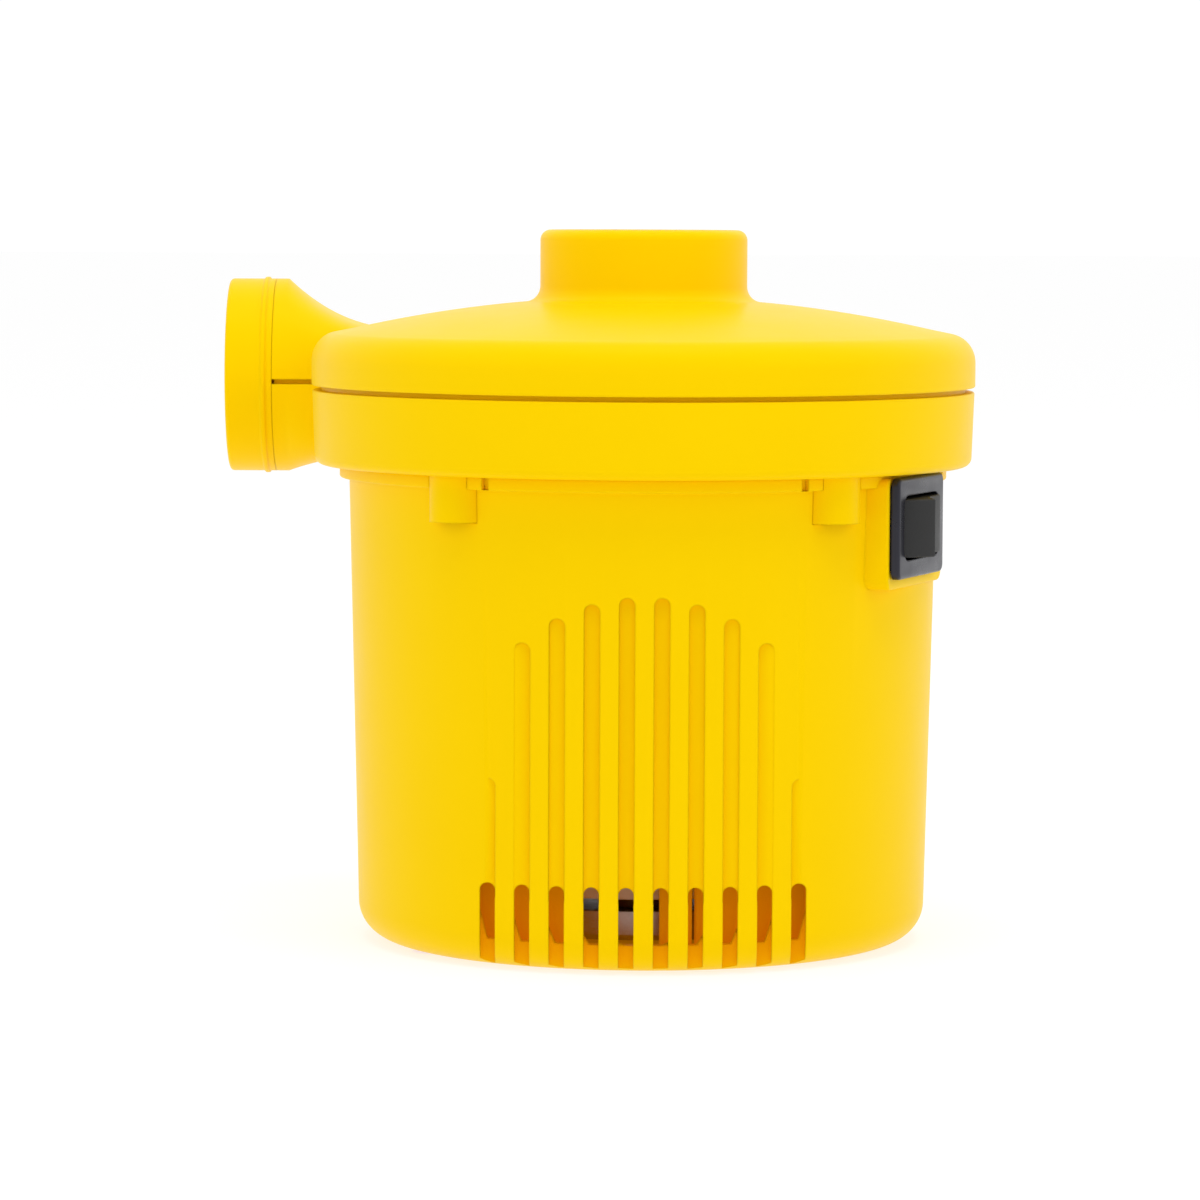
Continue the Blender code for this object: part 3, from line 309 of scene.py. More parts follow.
LOOKS = {
    "yellow_plastic": moulded(
        "yellow_plastic", (0.97, 0.640, 0.0010), (0.96, 0.628, 0.0008), 0.34,
        edge=(0.98, 0.67, 0.003), tint=(1.0, 0.72, 0.01), ior=1.14, uneven=0.3,
    ),
    # A shaded and lit copy of the yellow. Its deeper, warmer colour is painted shade, and its emission is a
    # painted glow, both standing in for daylight through the thin wall.
    "yellow_inside_painted_shade_and_glow": moulded(
        "yellow_inside_painted_shade_and_glow", (0.80, 0.40, 0.0008), (0.74, 0.36, 0.0006), 0.40,
        tint=(1.0, 0.72, 0.01), ior=1.25, painted_glow=((1.0, 0.36, 0.0), 0.17),
    ),
    "black_plastic": moulded(
        "black_plastic", (0.011, 0.011, 0.016), (0.008, 0.008, 0.012), 0.28, 0.03,
        edge=(0.05, 0.05, 0.06), tint=(0.85, 0.85, 1.0), ior=1.46,
    ),
    "rocker_plastic": moulded(
        "rocker_plastic", (0.011, 0.011, 0.011), (0.008, 0.008, 0.008), 0.50, 0.10, 2600.0,
        edge=(0.05, 0.05, 0.05), ior=1.47,
    ),
    "white_nylon": moulded(
        "white_nylon", (0.80, 0.80, 0.76), (0.72, 0.71, 0.66), 0.42, 0.04, edge=(0.86, 0.86, 0.83)
    ),
    "rubber": moulded(
        "rubber", (0.020, 0.020, 0.020), (0.032, 0.032, 0.032), 0.72, 0.2, 2200.0, edge=(0.05, 0.05, 0.05)
    ),
    "steel": metal("steel", (0.56, 0.57, 0.60), (0.46, 0.47, 0.50), 0.34, stain=(0.30, 0.21, 0.15)),
    "laminations": metal("laminations", (0.30, 0.29, 0.29), (0.22, 0.21, 0.21), 0.46, (1.0, 1.0, 40.0)),
    "copper": metal("copper", (0.72, 0.30, 0.14), (0.58, 0.21, 0.09), 0.34, (2.0, 2.0, 30.0)),
    "brass": metal("brass", (0.76, 0.55, 0.22), (0.62, 0.44, 0.18), 0.30),
    "bronze": metal("bronze", (0.58, 0.40, 0.20), (0.44, 0.29, 0.14), 0.46, (1.0, 1.0, 1.0)),
    "carbon": moulded("carbon", (0.035, 0.035, 0.037), (0.055, 0.055, 0.058), 0.55, 0.2, 3000.0),
    "wire_red": moulded("wire_red", (0.50, 0.020, 0.018), (0.40, 0.016, 0.014), 0.42, 0.05),
    "wire_blue": moulded("wire_blue", (0.020, 0.075, 0.38), (0.016, 0.06, 0.30), 0.42, 0.05),
    "wire_black": moulded("wire_black", (0.018, 0.018, 0.018), (0.012, 0.012, 0.012), 0.42, 0.05),
}

SLOTS = {part["node"]: part["material_slot"] for part in frame["record"]["subparts"]}
for name, shown in frame["nodes"].items():
    shown.data.materials.clear()
    shown.data.materials.append(LOOKS[SLOTS[name]])


# --- Making shapes ------------------------------------------------------------------------------
CUTTERS = []


def add(name, bm, smooth=True):
    """An object of a mesh in millimetres."""
    bmesh.ops.scale(bm, vec=(MM, MM, MM), verts=bm.verts)
    bmesh.ops.recalc_face_normals(bm, faces=bm.faces)
    for face in bm.faces:
        face.smooth = smooth
    mesh = bpy.data.meshes.new(name)
    bm.to_mesh(mesh)
    bm.free()
    made = bpy.data.objects.new(name, mesh)
    bpy.context.scene.collection.objects.link(made)
    return made


def arc(centre, radius, start, end, count):
    a, b = radius if isinstance(radius, tuple) else (radius, radius)
    angles = [radians(start + (end - start) * i / count) for i in range(count + 1)]
    return [(centre[0] + a * cos(t), centre[1] + b * sin(t)) for t in angles]


def softened(points, count=5, closed=True):
    """Rounds the corners of an outline that are given as (x, y, radius)."""
    out = []
    for i, point in enumerate(points):
        inner = closed or 0 < i < len(points) - 1
        if len(point) == 2 or not inner:
            out.append(point[:2])
            continue
        here = Vector(point[:2])
        before, after = Vector(points[i - 1][:2]) - here, Vector(points[(i + 1) % len(points)][:2]) - here
        reach = 0.48 * min(before.length, after.length)
        before.normalize()
        after.normalize()
        half = acos(max(-1.0, min(1.0, before.dot(after)))) / 2
        run = min(point[2] / tan(half), reach)
        middle = here + (before + after).normalized() * (run / cos(half))
        first, last = here + before * run - middle, here + after * run - middle
        a0 = atan2(first.y, first.x)
        turn = (atan2(last.y, last.x) - a0 + pi) % (2 * pi) - pi
        r = first.length
        angles = [a0 + turn * k / count for k in range(count + 1)]
        out += [(middle.x + r * cos(t), middle.y + r * sin(t)) for t in angles]
    return out


def turned(name, profile, steps=STEPS):
    """Turns an (r, z) profile round Z. It closes on itself unless both its ends are on the axis."""
    bm = bmesh.new()
    rings = []
    for r, z in profile:
        if r == 0.0:
            rings.append([bm.verts.new((0.0, 0.0, z))])
        else:
            angles = [2 * pi * k / steps for k in range(steps)]
            rings.append([bm.verts.new((r * cos(t), r * sin(t), z)) for t in angles])
    pairs = list(zip(rings, rings[1:]))
    if len(rings[0]) > 1:
        pairs.append((rings[-1], rings[0]))
    for near, far in pairs:
        for k in range(steps):
            n = (k + 1) % steps
            corners = [near[k % len(near)], near[n % len(near)], far[n % len(far)], far[k % len(far)]]
            corners = [v for i, v in enumerate(corners) if v not in corners[:i]]
            bm.faces.new(corners)
    return add(name, bm)


def block(name, size, centre, turn=0.0):
    bm = bmesh.new()
    bmesh.ops.create_cube(bm, size=1.0)
    bmesh.ops.scale(bm, vec=size, verts=bm.verts)
    bmesh.ops.rotate(bm, matrix=Matrix.Rotation(radians(turn), 3, "Z"), verts=bm.verts)
    bmesh.ops.translate(bm, vec=centre, verts=bm.verts)
    return add(name, bm)


def rods(name, radius, low, high, places, steps=SMALL_STEPS):
    bm = bmesh.new()
    for x, y in places:
        shift = Matrix.Translation((x, y, (low + high) / 2))
        bmesh.ops.create_cone(
            bm, cap_ends=True, segments=steps, radius1=radius, radius2=radius, depth=high - low, matrix=shift
        )
    return add(name, bm)


def prism(name, outline, low, high, place=None, round_top=0.0):
    """Extrudes an (x, y) outline from z = low to z = high, then moves it by the matrix."""
    bm = bmesh.new()
    face = bm.faces.new([bm.verts.new((x, y, low)) for x, y in outline])
    swept = bmesh.ops.extrude_face_region(bm, geom=[face])
    top = [item for item in swept["geom"] if isinstance(item, bmesh.types.BMVert)]
    bmesh.ops.translate(bm, vec=(0, 0, high - low), verts=top)
    if round_top:
        raised = set(top)
        edges = [edge for edge in bm.edges if all(v in raised for v in edge.verts)]
        bmesh.ops.bevel(bm, geom=edges, offset=round_top, segments=4, profile=0.5, affect="EDGES")
    if place:
        bmesh.ops.transform(bm, matrix=place, verts=bm.verts)
    return add(name, bm)


def rounded_rectangle(width, height, radius, count=8):
    x, y = width / 2 - radius, height / 2 - radius
    corners = ((x, y, 0), (-x, y, 90), (-x, -y, 180), (x, -y, 270))
    return [p for cx, cy, start in corners for p in arc((cx, cy), radius, start, start + 90, count)]


def modify(target, others, operation):
    for other in others:
        boolean = target.modifiers.new(other.name, "BOOLEAN")
        boolean.operation = operation
        boolean.solver = "MANIFOLD"
        boolean.object = other
        CUTTERS.append(other)


def cut(target, *others):
    modify(target, others, "DIFFERENCE")


def join(target, *others):
    modify(target, others, "UNION")


def settle(target, look, body, *nodes, angle=32.0):
    """Applies the modifiers, shades the mesh, and makes it stand for the CAD nodes on their body."""
    bpy.context.view_layer.update()
    graph = bpy.context.evaluated_depsgraph_get()
    mesh = bpy.data.meshes.new_from_object(target.evaluated_get(graph))
    mesh.name = target.name
    target.modifiers.clear()
    mesh.transform(target.matrix_world)
    target.parent = None
    target.matrix_world = Matrix.Identity(4)
    target.data = mesh
    while CUTTERS:
        spent = CUTTERS.pop()
        bpy.data.objects.remove(spent, do_unlink=True)
    bm = bmesh.new()
    bm.from_mesh(mesh)
    bmesh.ops.remove_doubles(bm, verts=bm.verts, dist=1e-7)
    bmesh.ops.recalc_face_normals(bm, faces=bm.faces)
    for face in bm.faces:
        face.smooth = True
    bm.to_mesh(mesh)
    bm.free()
    mesh.set_sharp_from_angle(angle=radians(angle))
    mesh.materials.clear()
    mesh.materials.append(LOOKS[look])
    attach(target, body)
    if nodes:
        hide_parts(*nodes)
    return target


def ring_place(radius, azimuth):
    """A point on a ring. Azimuth 0 is at the vents, and it grows towards +X."""
    return (radius * sin(radians(azimuth)), -radius * cos(radians(azimuth)))


PEGS = [ring_place(PEG_RING, a) for a in PEG_AZIMUTHS]
COLUMNS = [ring_place(COLUMN_RING, a) for a in COLUMN_AZIMUTHS]
MOTOR_POSTS = [(0.0, -MOTOR_POST_Y), (0.0, MOTOR_POST_Y)]


def switch_frame():
    out = Vector((sin(radians(SWITCH_AZIMUTH)), -cos(radians(SWITCH_AZIMUTH)), 0.0))
    along = Vector((cos(radians(SWITCH_AZIMUTH)), sin(radians(SWITCH_AZIMUTH)), 0.0))
    return Matrix((along, Vector((0, 0, 1)), out)).transposed().to_4x4()


SWITCH = switch_frame()


def switch_place(e, z, p):
    return Matrix.Translation(SWITCH @ Vector((e, 0, p)) + Vector((0, 0, z))) @ SWITCH


# --- Body ---------------------------------------------------------------------------------------
def body_radius(z):
    span = (z - BASE_FILLET) / (SKIRT_Z - BASE_FILLET)
    return BODY_BASE_R + (BODY_TOP_R - BODY_BASE_R) * span


def vent_outline(top, low, width):
    return [(-width / 2, low), (width / 2, low)] + arc((0, top - width / 2), width / 2, 0, 180, 16)


def vent_positions():
    return [(i - (VENT_COUNT - 1) / 2) * VENT_PITCH for i in range(VENT_COUNT)]


def slot_cutter(name, side, slots):
    """Slots with round heads, each given as (x, outline, back), where back(z) is a straight line."""
    bm = bmesh.new()
    for x, points, back in slots:
        near = [bm.verts.new((x + px, -back(pz), pz)) for px, pz in points]
        far = [bm.verts.new((x + px, -60.0, pz)) for px, pz in points]
        bm.faces.new(near)
        bm.faces.new(list(reversed(far)))
        for i in range(len(points)):
            j = (i + 1) % len(points)
            bm.faces.new((near[i], far[i], far[j], near[j]))
    if side > 0:
        bmesh.ops.rotate(bm, matrix=Matrix.Rotation(pi, 3, "Z"), verts=bm.verts)
    return add(name, bm)


def groove_cutter(name, side):
    slots = []
    low = WINDOW_Z - VENT_W
    for x in vent_positions():
        outermost = abs(x) > VENT_PITCH * (VENT_COUNT / 2 - 1)
        top = OUTER_VENT_Z if outermost else ARCH_Z + sqrt(ARCH_R**2 - x**2)
        depth = VENT_DEPTH * (1.0 - 0.75 * (x / 22.0) ** 2)
        ends = [sqrt(body_radius(z) ** 2 - x**2) - depth for z in (low, top)]
        if outermost:
            ends[1] += depth
        rise = (ends[1] - ends[0]) / (top - low)
        outline = vent_outline(top, low, VENT_W + 0.1)
        slots.append((x, outline, lambda z, a=ends[0], b=rise: a + b * (z - low)))
    return slot_cutter(name, side, slots)


def window_cutter(name, side):
    slots = []
    for x in vent_positions():
        back = sqrt(SILL_R[1] ** 2 - x**2)
        slots.append((x, vent_outline(WINDOW_Z, -1.0, VENT_W), lambda z, a=back: a))
    return slot_cutter(name, side, slots)


def body():
    foot = arc((BODY_BASE_R - BASE_FILLET, BASE_FILLET), BASE_FILLET, 0, -90, 24)
    rim_z = DRUM_Z - TOUCH
    outside = [(0.0, rim_z), (SKIRT_R, rim_z, 0.3), (SKIRT_R, SKIRT_Z, 0.25)]
    outside += [(BODY_TOP_R, SKIRT_Z, 0.3)] + foot + [(0.0, 0.0)]
    shell = turned("pump_body", softened(outside, closed=False))
    low = SILL_R[1] + 0.6
    inside = [(0.0, BODY_TOP_Z + 1), (BODY_TOP_R - BODY_WALL, BODY_TOP_Z + 1), (low, 8.0)]
    inside += [(SILL_R[1], SILL_Z), (SILL_R[0], SILL_Z), (SILL_R[0], FLOOR_T), (0.0, FLOOR_T)]
    boss_w = BOSS_E[1] - BOSS_E[0]
    boss_top = BODY_TOP_Z - 0.2
    join(shell, prism(
        "switch_boss", rounded_rectangle(boss_w, boss_top - BOSS_Z, 1.6), 37.6, SWITCH_PLANE,
        place=switch_place(sum(BOSS_E) / 2, (BOSS_Z + boss_top) / 2, 0.0), round_top=0.3,
    ))
    cut(shell, turned("body_cavity", inside))
    join(shell, rods("columns", COLUMN_R, FLOOR_T - 0.5, COLUMN_Z, COLUMNS))
    cut(shell, rods("column_wells", WELL_R, -1.0, COLUMN_Z - 2.5, COLUMNS))
    cut(shell, rods("column_holes", SCREW_R + 0.2, COLUMN_Z - 4.0, COLUMN_Z + 1, COLUMNS))
    cut(shell, rods("peg_notches", PEG_R + TOUCH, PEG_Z - TOUCH, BODY_TOP_Z + 2, PEGS))
    for side in (-1, 1):
        azimuth = side * SKIRT_GAP_AZIMUTH
        place = (*ring_place(BODY_TOP_R + 3.5, azimuth), SKIRT_Z + 2.02)
        cut(shell, block(f"skirt_gap_{side}", (SKIRT_GAP_W, 6.0, 4.0), place, turn=azimuth))
    gland_hole = rods("gland_hole", GLAND_NECK_R + FIT, -50.0, -30.0, [(0, 0)])
    gland_hole.rotation_euler = (radians(90), 0, 0)
    gland_hole.location = (0, 0, GLAND_Z * MM)
    cut(shell, gland_hole)
    box_hole = rounded_rectangle(SWITCH_BOX[0] + 0.4, SWITCH_BOX[1] + 0.4, 0.6)
    cut(shell, prism("switch_hole", box_hole, 30.0, 60.0, place=switch_place(SWITCH_E, SWITCH_Z, 0.0)))
    clear = rounded_rectangle(FLANGE[0] + 1.6, 2 * (BODY_TOP_Z + 2 - SWITCH_Z), 1.0)
    cut(shell, prism("skirt_relief", clear, SWITCH_PLANE, 60.0, place=switch_place(SWITCH_E, SWITCH_Z, 0.0)))
    for side, side_name in ((-1, "front"), (1, "rear")):
        cut(shell, groove_cutter(f"grooves_{side_name}", side), window_cutter(f"windows_{side_name}", side))
    for i, (start, end) in enumerate(BAFFLE_ARCS):
        band = [ring_place(BAFFLE_R[1], start + (end - start) * k / 32) for k in range(33)]
        band += [ring_place(BAFFLE_R[0], end + (start - end) * k / 32) for k in range(33)]
        join(shell, prism(f"baffle_{i}", band, FLOOR_T - 0.5, BAFFLE_Z))
    made = settle(shell, "yellow_plastic", "housing", "body_shell")
    # The inside faces get painted shade and a painted glow: a deeper, warmer colour and an emission that
    # stand in for daylight soaking through the thin wall.
    made.data.materials.append(LOOKS["yellow_inside_painted_shade_and_glow"])
    for face in made.data.polygons:
        middle = face.center / MM
        within_wall = middle.xy.length < BODY_BASE_R - 2.0
        if within_wall and middle.z > 0.2 and face.normal.z > -0.2:
            face.material_index = 1
    return made


# --- Outlet duct --------------------------------------------------------------------------------
def duct(name, inset, start_x, end_x=OUTLET_JOINT_X):
    """The tube from the drum to the outlet: a rounded rectangle that flares into a circle."""
    flare = [FLARE_X[0] + (FLARE_X[1] - FLARE_X[0]) * k / FLARE_STATIONS for k in range(FLARE_STATIONS + 1)]
    stations = [start_x] + [x for x in flare if x < start_x - 0.01] + [end_x]
    bm = bmesh.new()
    rings = []
    for x in stations:
        u = min(max((FLARE_X[0] - x) / (FLARE_X[0] - FLARE_X[1]), 0.0), 1.0)
        grown = u**FLARE_POWER
        top = DUCT_TOP_Z + (OUTLET_Z + OUTLET_R - DUCT_TOP_Z) * grown - inset
        low = DRUM_Z + (OUTLET_Z - OUTLET_R - DRUM_Z) * grown + inset
        half_y = OUTLET_R - inset
        power = 2.0 / (DUCT_SQUARENESS + (2.0 - DUCT_SQUARENESS) * u)
        ring = []
        for k in range(DUCT_SIDES):
            t = 2 * pi * k / DUCT_SIDES
            cy = abs(cos(t)) ** power * (1 if cos(t) > 0 else -1)
            cz = abs(sin(t)) ** power * (1 if sin(t) > 0 else -1)
            ring.append(bm.verts.new((x, OUTLET_Y + half_y * cy, (top + low) / 2 + (top - low) / 2 * cz)))
        rings.append(ring)
    bm.faces.new(rings[0])
    bm.faces.new(list(reversed(rings[-1])))
    for near, far in zip(rings, rings[1:]):
        for k in range(DUCT_SIDES):
            n = (k + 1) % DUCT_SIDES
            bm.faces.new((near[k], far[k], far[n], near[n]))
    return add(name, bm)


def trimmed_duct(name, inset, start_x, keep_below=None, keep_above=None, end_x=OUTLET_JOINT_X):
    tube = duct(name, inset, start_x, end_x)
    if keep_below:
        cut(tube, block(name + "_over", (80, 60, 40), (-40, OUTLET_Y, keep_below + 20)))
    if keep_above:
        cut(tube, block(name + "_under", (80, 60, 40), (-40, OUTLET_Y, keep_above - 20)))
    return tube


def fan_drum():
    floor_z = DRUM_Z + DRUM_FLOOR
    outside = [(0.0, TONGUE_Z), (TONGUE_R, TONGUE_Z, 0.2), (TONGUE_R, SEAM_Z[0]), (DRUM_R, SEAM_Z[0], 0.25)]
    outside += [(DRUM_LOW_R, DRUM_Z + 1.3)] + arc((DRUM_LOW_R - 1.3, DRUM_Z + 1.3), 1.3, 0, -90, 10)[1:]
    outside += [(0.0, DRUM_Z)]
    shell = turned("fan_drum", softened(outside, closed=False))
    join(shell, trimmed_duct("duct_low", 0.0, DUCT_START_X, keep_below=SEAM_Z[0]))
    join(shell, trimmed_duct(
        "duct_tongue", DUCT_TONGUE_INSET, DUCT_START_X, keep_below=TONGUE_Z, end_x=OUTLET_JOINT_X + 0.3
    ))
    chamber = [(0.0, TONGUE_Z + 3), (CHAMBER_R, TONGUE_Z + 3), (CHAMBER_R, floor_z), (0.0, floor_z)]
    cut(shell, turned("chamber", chamber))
    cut(shell, duct("duct_bore_low", DUCT_WALL, DUCT_BORE_X, OUTLET_JOINT_X - 1))
    join(shell, rods("pegs", PEG_R, PEG_Z, DRUM_Z + 1.0, PEGS))
    join(shell, rods("hanging_posts", COLUMN_R - 0.6, COLUMN_Z + FIT, DRUM_Z + 1.0, COLUMNS))
    join(shell, rods("motor_posts", 3.2, MOTOR_POST_LOW, DRUM_Z + 1.0, MOTOR_POSTS))
    cut(shell, rods("peg_holes", SCREW_R + 0.2, PEG_Z - 1, floor_z + 1, PEGS))
    cut(shell, rods("peg_wells", WELL_R, PEG_Z - 1, PEG_Z + 3.0, PEGS))
    cut(shell, rods("shaft_hole", 6.5, DRUM_Z - 1, floor_z + 1, [(0, 0)]))
    return settle(shell, "yellow_plastic", "housing", "fan_housing")


def dome_z(r):
    return DOME_Z - DOME_SLOPE * (r - DOME_R) - DOME_CURVE * (r - DOME_R) ** 2


def cover():
    edge_r = COVER_R - SHOULDER[0]
    shoulder_z = dome_z(edge_r) - SHOULDER[1]
    fillet_r = COLLAR_R + COLLAR_FILLET
    fillet_z = dome_z(fillet_r) + COLLAR_FILLET
    lip = arc((COLLAR_R - COLLAR_LIP, COLLAR_Z - COLLAR_LIP), COLLAR_LIP, 90, 0, 10)
    neck = arc((fillet_r, fillet_z), COLLAR_FILLET, 180, 262, 10)
    dome = [(r, dome_z(r)) for r in (19.0, 21.0, 23.0, 25.5, 28.0, 30.5, 33.0, 35.5, 38.0, 40.0, 42.0)]
    shoulder = arc((edge_r, shoulder_z), SHOULDER, 76, 0, 14)
    outside = [(0.0, COLLAR_Z)] + lip + neck + dome + shoulder
    outside += [(COVER_R, SEAM_Z[1], 0.25), (0.0, SEAM_Z[1])]
    shell = turned("drum_cover", softened(outside, closed=False))
    join(shell, trimmed_duct("duct_high", 0.0, DUCT_START_X, keep_above=SEAM_Z[1]))
    under = [(0.0, dome_z(8.0) - COVER_T)]
    under += [(r, dome_z(r) - COVER_T) for r in (16.0, 20.0, 24.0, 28.0, 33.0, 37.0, 41.0)]
    under += arc((edge_r - 0.6, shoulder_z), (SHOULDER[0] - COVER_T + 0.9, SHOULDER[1] - COVER_T), 60, 0, 6)
    recess = TONGUE_Z + FIT
    tongue_r = TONGUE_R + FIT
    under += [(under[-1][0], recess), (tongue_r, recess), (tongue_r, SEAM_Z[1] - 1), (0.0, SEAM_Z[1] - 1)]
    cut(shell, turned("cover_cavity", under))
    cut(shell, trimmed_duct("duct_recess", DUCT_TONGUE_INSET - FIT, DUCT_START_X, keep_below=recess))
    cut(shell, duct("duct_bore_high", DUCT_WALL, DUCT_BORE_X, OUTLET_JOINT_X - 1))
    bore = [(0.0, COLLAR_Z + 1), (INLET_R + 1.0, COLLAR_Z + 1), (INLET_R + 0.35, COLLAR_Z - 0.02, 0.3)]
    bore += [(INLET_R, COLLAR_Z - 0.6, 0.3), (INLET_R, LEDGE_Z), (LEDGE_R, LEDGE_Z)]
    bore += [(LEDGE_R, DOME_Z - 6), (0.0, DOME_Z - 6)]
    cut(shell, turned("inlet_bore", softened(bore, closed=False)))
    join(shell, rods("cover_posts", 3.0, DRUM_Z + DRUM_FLOOR + FIT, DOME_Z - 5.6, PEGS))
    return settle(shell, "yellow_plastic", "housing", "top_cover")


def grille():
    low, high = GRILLE_LOW.z, GRILLE_HIGH.z
    outer = INLET_R - FIT
    soft = 0.25
    ring = [(outer, high, soft), (outer, low), (outer - 1.5, low, soft), (outer - 1.5, high, soft)]
    made = turned("intake_grille", softened(ring, 3), 128)
    half, sunk = SPOKE_W / 2, 0.15
    corners = ((-half, low + sunk), (half, low + sunk), (half, high - sunk), (-half, high - sunk))
    for i in range(SPOKES):
        angle = 360.0 / SPOKES * i
        x, y = ring_place(8.0, 90.0 + angle)
        outline = softened([(e, z, soft) for e, z in corners], 3)
        turn = Matrix.Translation((x, y, 0)) @ Matrix.Rotation(radians(angle), 4, "Z")
        turn = turn @ Matrix((Vector((0, 1, 0)), Vector((0, 0, 1)), Vector((1, 0, 0)))).transposed().to_4x4()
        join(made, prism(f"spoke_{i}", outline, -4.1, 4.1, place=turn))
    eye = [(4.6, high, soft), (4.6, low, soft), (3.4, low, soft), (3.4, high, soft)]
    join(made, turned("grille_eye", softened(eye, 3), 64))
    return settle(made, "yellow_plastic", "housing", "inlet_grille")


def nozzle():
    start = OUTLET_JOINT_X - TOUCH
    length = start - OUTLET_END_X
    spigot = 1.7
    bore = OUTLET_R - 1.9
    spigot_r = OUTLET_R - DUCT_WALL - FIT
    bead = start - BEAD_X
    tip = arc((OUTLET_R - 0.6, length - 0.6), 0.6, 90, 0, 8)
    profile = [(bore, length, 0.3)] + tip
    profile += [(OUTLET_R, bead + 0.45, 0.3), (BEAD_R, bead + 0.3, 0.2), (BEAD_R, bead - 0.3, 0.2)]
    profile += [(OUTLET_R, bead - 0.45, 0.3), (OUTLET_R, 0.0), (spigot_r, 0.0), (spigot_r, -spigot)]
    profile += [(spigot_r - 1.2, -spigot)]
    made = turned("nozzle", softened(profile))
    made.rotation_euler = (0, radians(-90), 0)
    made.location = (start * MM, OUTLET_Y * MM, OUTLET_Z * MM)
    return settle(made, "yellow_plastic", "housing", "outlet_nozzle")


# --- Switch -------------------------------------------------------------------------------------
def bezel():
    place = switch_place(SWITCH_E, SWITCH_Z, SWITCH_PLANE)
    face = rounded_rectangle(FLANGE[0], FLANGE[1], 1.2)
    made = prism("switch_bezel", face, FIT, FIT + FLANGE[2], place=place, round_top=0.45)
    box = rounded_rectangle(SWITCH_BOX[0], SWITCH_BOX[1], 0.6)
    join(made, prism("switch_box", box, -SWITCH_BOX[2], FIT + 0.4, place=place))
    opening = rounded_rectangle(*ROCKER_OPENING, ROCKER_OPENING_CORNER)
    cut(made, prism("rocker_opening", opening, -2.0, FIT + FLANGE[2] + 1, place=place))
    room = rounded_rectangle(18.3, ROCKER_OPENING[1] + 0.6, 0.4)
    cut(made, prism("rocker_room", room, -SWITCH_BOX[2] + 1.2, 0.2, place=place))
    return settle(made, "black_plastic", "housing", "switch_housing")


def rocker():
    """Ends that are arcs about the pivot, and a shallow V on top, held down at its far end."""
    r = ROCKER_SWING_R
    right = arc((0, 0), r, 5, 47, 24)
    left = [(-x, y) for x, y in reversed(right)]
    e, p = right[-1]
    outline = right[:-1] + [(e, p, 0.45), (0.0, p - ROCKER_DIP, 9.0), (-e, p, 0.45)] + left[1:]
    outline += [(-6.4, 0.4), (-2.0, -0.6), (-1.2, -3.4), (1.2, -3.4), (2.0, -0.6), (6.4, 0.4)]
    outline = softened(outline, 8)
    bm = bmesh.new()
    face = bm.faces.new([bm.verts.new((e * MM, -ROCKER_Z_HALF * MM, p * MM)) for e, p in outline])
    swept = bmesh.ops.extrude_face_region(bm, geom=[face])
    top = [item for item in swept["geom"] if isinstance(item, bmesh.types.BMVert)]
    bmesh.ops.translate(bm, vec=(0, 2 * ROCKER_Z_HALF * MM, 0), verts=top)
    rims = [e for e in bm.edges if abs(e.verts[0].co.y - e.verts[1].co.y) < 1e-9]
    bmesh.ops.bevel(
        bm, geom=rims, offset=ROCKER_ROUND * MM, segments=4, profile=0.5, affect="EDGES", clamp_overlap=True
    )
    bmesh.ops.recalc_face_normals(bm, faces=bm.faces)
    mesh = bpy.data.meshes.new("switch_key")
    bm.to_mesh(mesh)
    bm.free()
    made = bpy.data.objects.new("switch_key", mesh)
    bpy.context.scene.collection.objects.link(made)
    where = switch_place(SWITCH_E, SWITCH_Z, ROCKER_PIVOT)
    where.translation *= MM
    made.matrix_world = where @ Matrix.Rotation(radians(ROCKER_REST), 4, "Y")
    return settle(made, "rocker_plastic", "rocker", "switch_rocker", angle=40.0)


# --- Gland and fan ------------------------------------------------------------------------------
def gland():
    face = body_radius(GLAND_Z) + FIT
    back = body_radius(GLAND_Z) - BODY_WALL - 1.0
    profile = [(GLAND_HOLE_R, face + 1.8, 0.5), (5.4, face + 1.8, 0.5)]
    profile += [(GLAND_HEAD_R, face + 1.0, 0.4), (GLAND_HEAD_R, face, 0.2)]
    profile += [(GLAND_NECK_R, face), (GLAND_NECK_R, back), (GLAND_CATCH_R, back, 0.3)]
    profile += [(GLAND_CATCH_R, back - 1.4, 0.3)]
    profile += [(GLAND_HOLE_R, back - 1.4, 0.3)]
    made = turned("grommet", softened(profile), 96)
    made.rotation_euler = (radians(-90), 0, 0)
    made.location = (0, 0, GLAND_Z * MM)
    return settle(made, "rubber", "housing", "cord_gland")


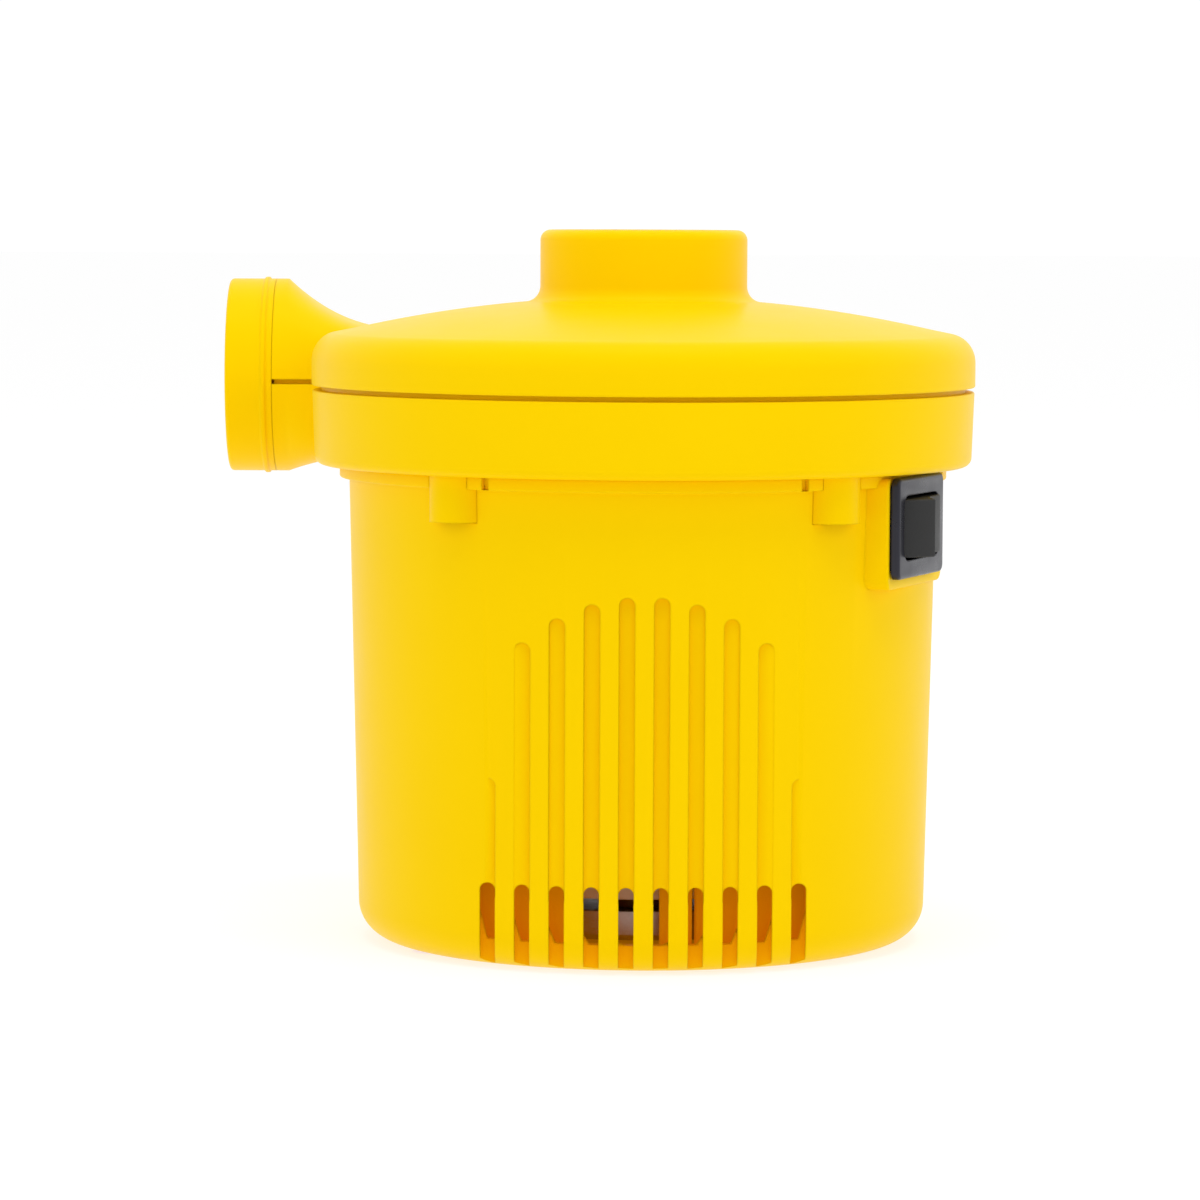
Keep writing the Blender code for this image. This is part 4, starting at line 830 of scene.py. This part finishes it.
def fan():
    plate = [(0.0, FAN_HUB_TOP), (5.5, FAN_HUB_TOP, 0.5), (6.5, FAN_Z[1], 1.5), (FAN_R, FAN_Z[1], 0.3)]
    plate += [(FAN_R, FAN_Z[0], 0.3), (0.0, FAN_Z[0])]
    wheel = turned("fan_wheel", softened(plate, closed=False))
    bm = bmesh.new()
    for i in range(FAN_BLADES):
        base = 360.0 / FAN_BLADES * i
        front, back = [], []
        for k in range(25):
            t = k / 24
            r = BLADE_START_R + (FAN_R - 0.3 - BLADE_START_R) * t
            sweep = base - BLADE_SWEEP * t**0.85
            offset = BLADE_HALF_T / r * 180 / pi
            front.append((*ring_place(r, sweep + offset), t))
            back.append((*ring_place(r, sweep - offset), t))
        outline = front + back[::-1]
        low = [bm.verts.new((x, y, FAN_Z[1] - 0.5)) for x, y, _ in outline]
        high = [bm.verts.new((x, y, FAN_TOP + 1.5 * (1 - t))) for x, y, t in outline]
        bm.faces.new(low)
        bm.faces.new(list(reversed(high)))
        for k in range(len(outline)):
            n = (k + 1) % len(outline)
            bm.faces.new((low[k], low[n], high[n], high[k]))
    join(wheel, add("blades", bm))
    cut(wheel, rods("fan_bore", SCREW_R + FIT, FAN_Z[0] - 1, FAN_HUB_TOP + 1, [(0, 0)]))
    return settle(wheel, "white_nylon", "rotor", "impeller")


body()
fan_drum()
cover()
grille()
nozzle()
bezel()
rocker()
gland()
fan()

# --- Floor, light and camera --------------------------------------------------------------------
# In metres
SKY_STRENGTH = (0.62, 1.04)  # behind the camera, and behind the object
FLOOR_HALF = 12.0
FLOOR_DROP = 0.0002
FLOOR_GLOW = 0.70
AIM = (0.0, 0.0, 0.05)
CAMERA_LENS = 150.0
CAMERA_SENSOR = 36.0
CAMERA_PLACE = (-0.0062, -0.731, 0.1060)
CAMERA_PITCH = 4.44
CAMERA_ROLL = 0.23
world = bpy.data.worlds.new("studio")
bpy.context.scene.world = world
world.use_nodes = True
sky = world.node_tree
sky.nodes["Background"].inputs["Color"].default_value = (1.0, 1.0, 1.0, 1.0)
facing = node(sky, "ShaderNodeSeparateXYZ", Vector=sky.nodes.new("ShaderNodeTexCoord").outputs["Generated"])
sky.links.new(
    spread(sky, facing.outputs["Y"], *SKY_STRENGTH, -0.6, 0.6), sky.nodes["Background"].inputs["Strength"]
)

floor_mesh = bpy.data.meshes.new("floor")
corners = ((-1, -1), (1, -1), (1, 1), (-1, 1))
floor_mesh.from_pydata([(FLOOR_HALF * x, FLOOR_HALF * y, 0) for x, y in corners], [], [(0, 1, 2, 3)])
floor = bpy.data.objects.new("floor", floor_mesh)
floor.location.z = -FLOOR_DROP
bpy.context.scene.collection.objects.link(floor)
paper, paper_tree, paper_shader = shader_of("paper")
paper_where = paper_tree.nodes.new("ShaderNodeTexCoord").outputs["Object"]
paper_grain = noise(paper_tree, paper_where, 300.0, 3.0)
paper_colour = mixed(paper_tree, paper_grain, (0.36, 0.36, 0.36), (0.34, 0.34, 0.34))
paper_tree.links.new(paper_colour, paper_shader.inputs["Base Color"])
paper_shader.inputs["Roughness"].default_value = 0.9
paper_shader.inputs["Specular IOR Level"].default_value = 0.0
paper_shader.inputs["Emission Color"].default_value = (1.0, 1.0, 1.0, 1.0)
paper_shader.inputs["Emission Strength"].default_value = FLOOR_GLOW
floor_mesh.materials.append(paper)


def softbox(name, place, target, size, power):
    data = bpy.data.lights.new(name, "AREA")
    data.shape = "SQUARE"
    data.size = size
    data.energy = power
    made = bpy.data.objects.new(name, data)
    made.location = place
    made.rotation_mode = "QUATERNION"
    made.rotation_quaternion = (Vector(target) - Vector(place)).to_track_quat("-Z", "Y")
    bpy.context.scene.collection.objects.link(made)


softbox("top", (0.05, -0.35, 1.2), AIM, 0.7, 5.0)
softbox("left", (-1.1, -0.9, 0.7), AIM, 0.6, 1.6)
softbox("right", (1.2, -0.8, 0.8), AIM, 0.6, 2.0)

bpy.context.scene.view_settings.view_transform = "Standard"

view = bpy.data.cameras.new("camera")
view.lens = CAMERA_LENS
view.sensor_width = CAMERA_SENSOR
view.clip_start = 0.01
view.clip_end = 100.0
camera = bpy.data.objects.new("camera", view)
turn = Matrix.Rotation(radians(90.0 - CAMERA_PITCH), 4, "X") @ Matrix.Rotation(radians(CAMERA_ROLL), 4, "Z")
camera.matrix_world = Matrix.Translation(CAMERA_PLACE) @ turn
bpy.context.scene.collection.objects.link(camera)
bpy.context.scene.camera = camera
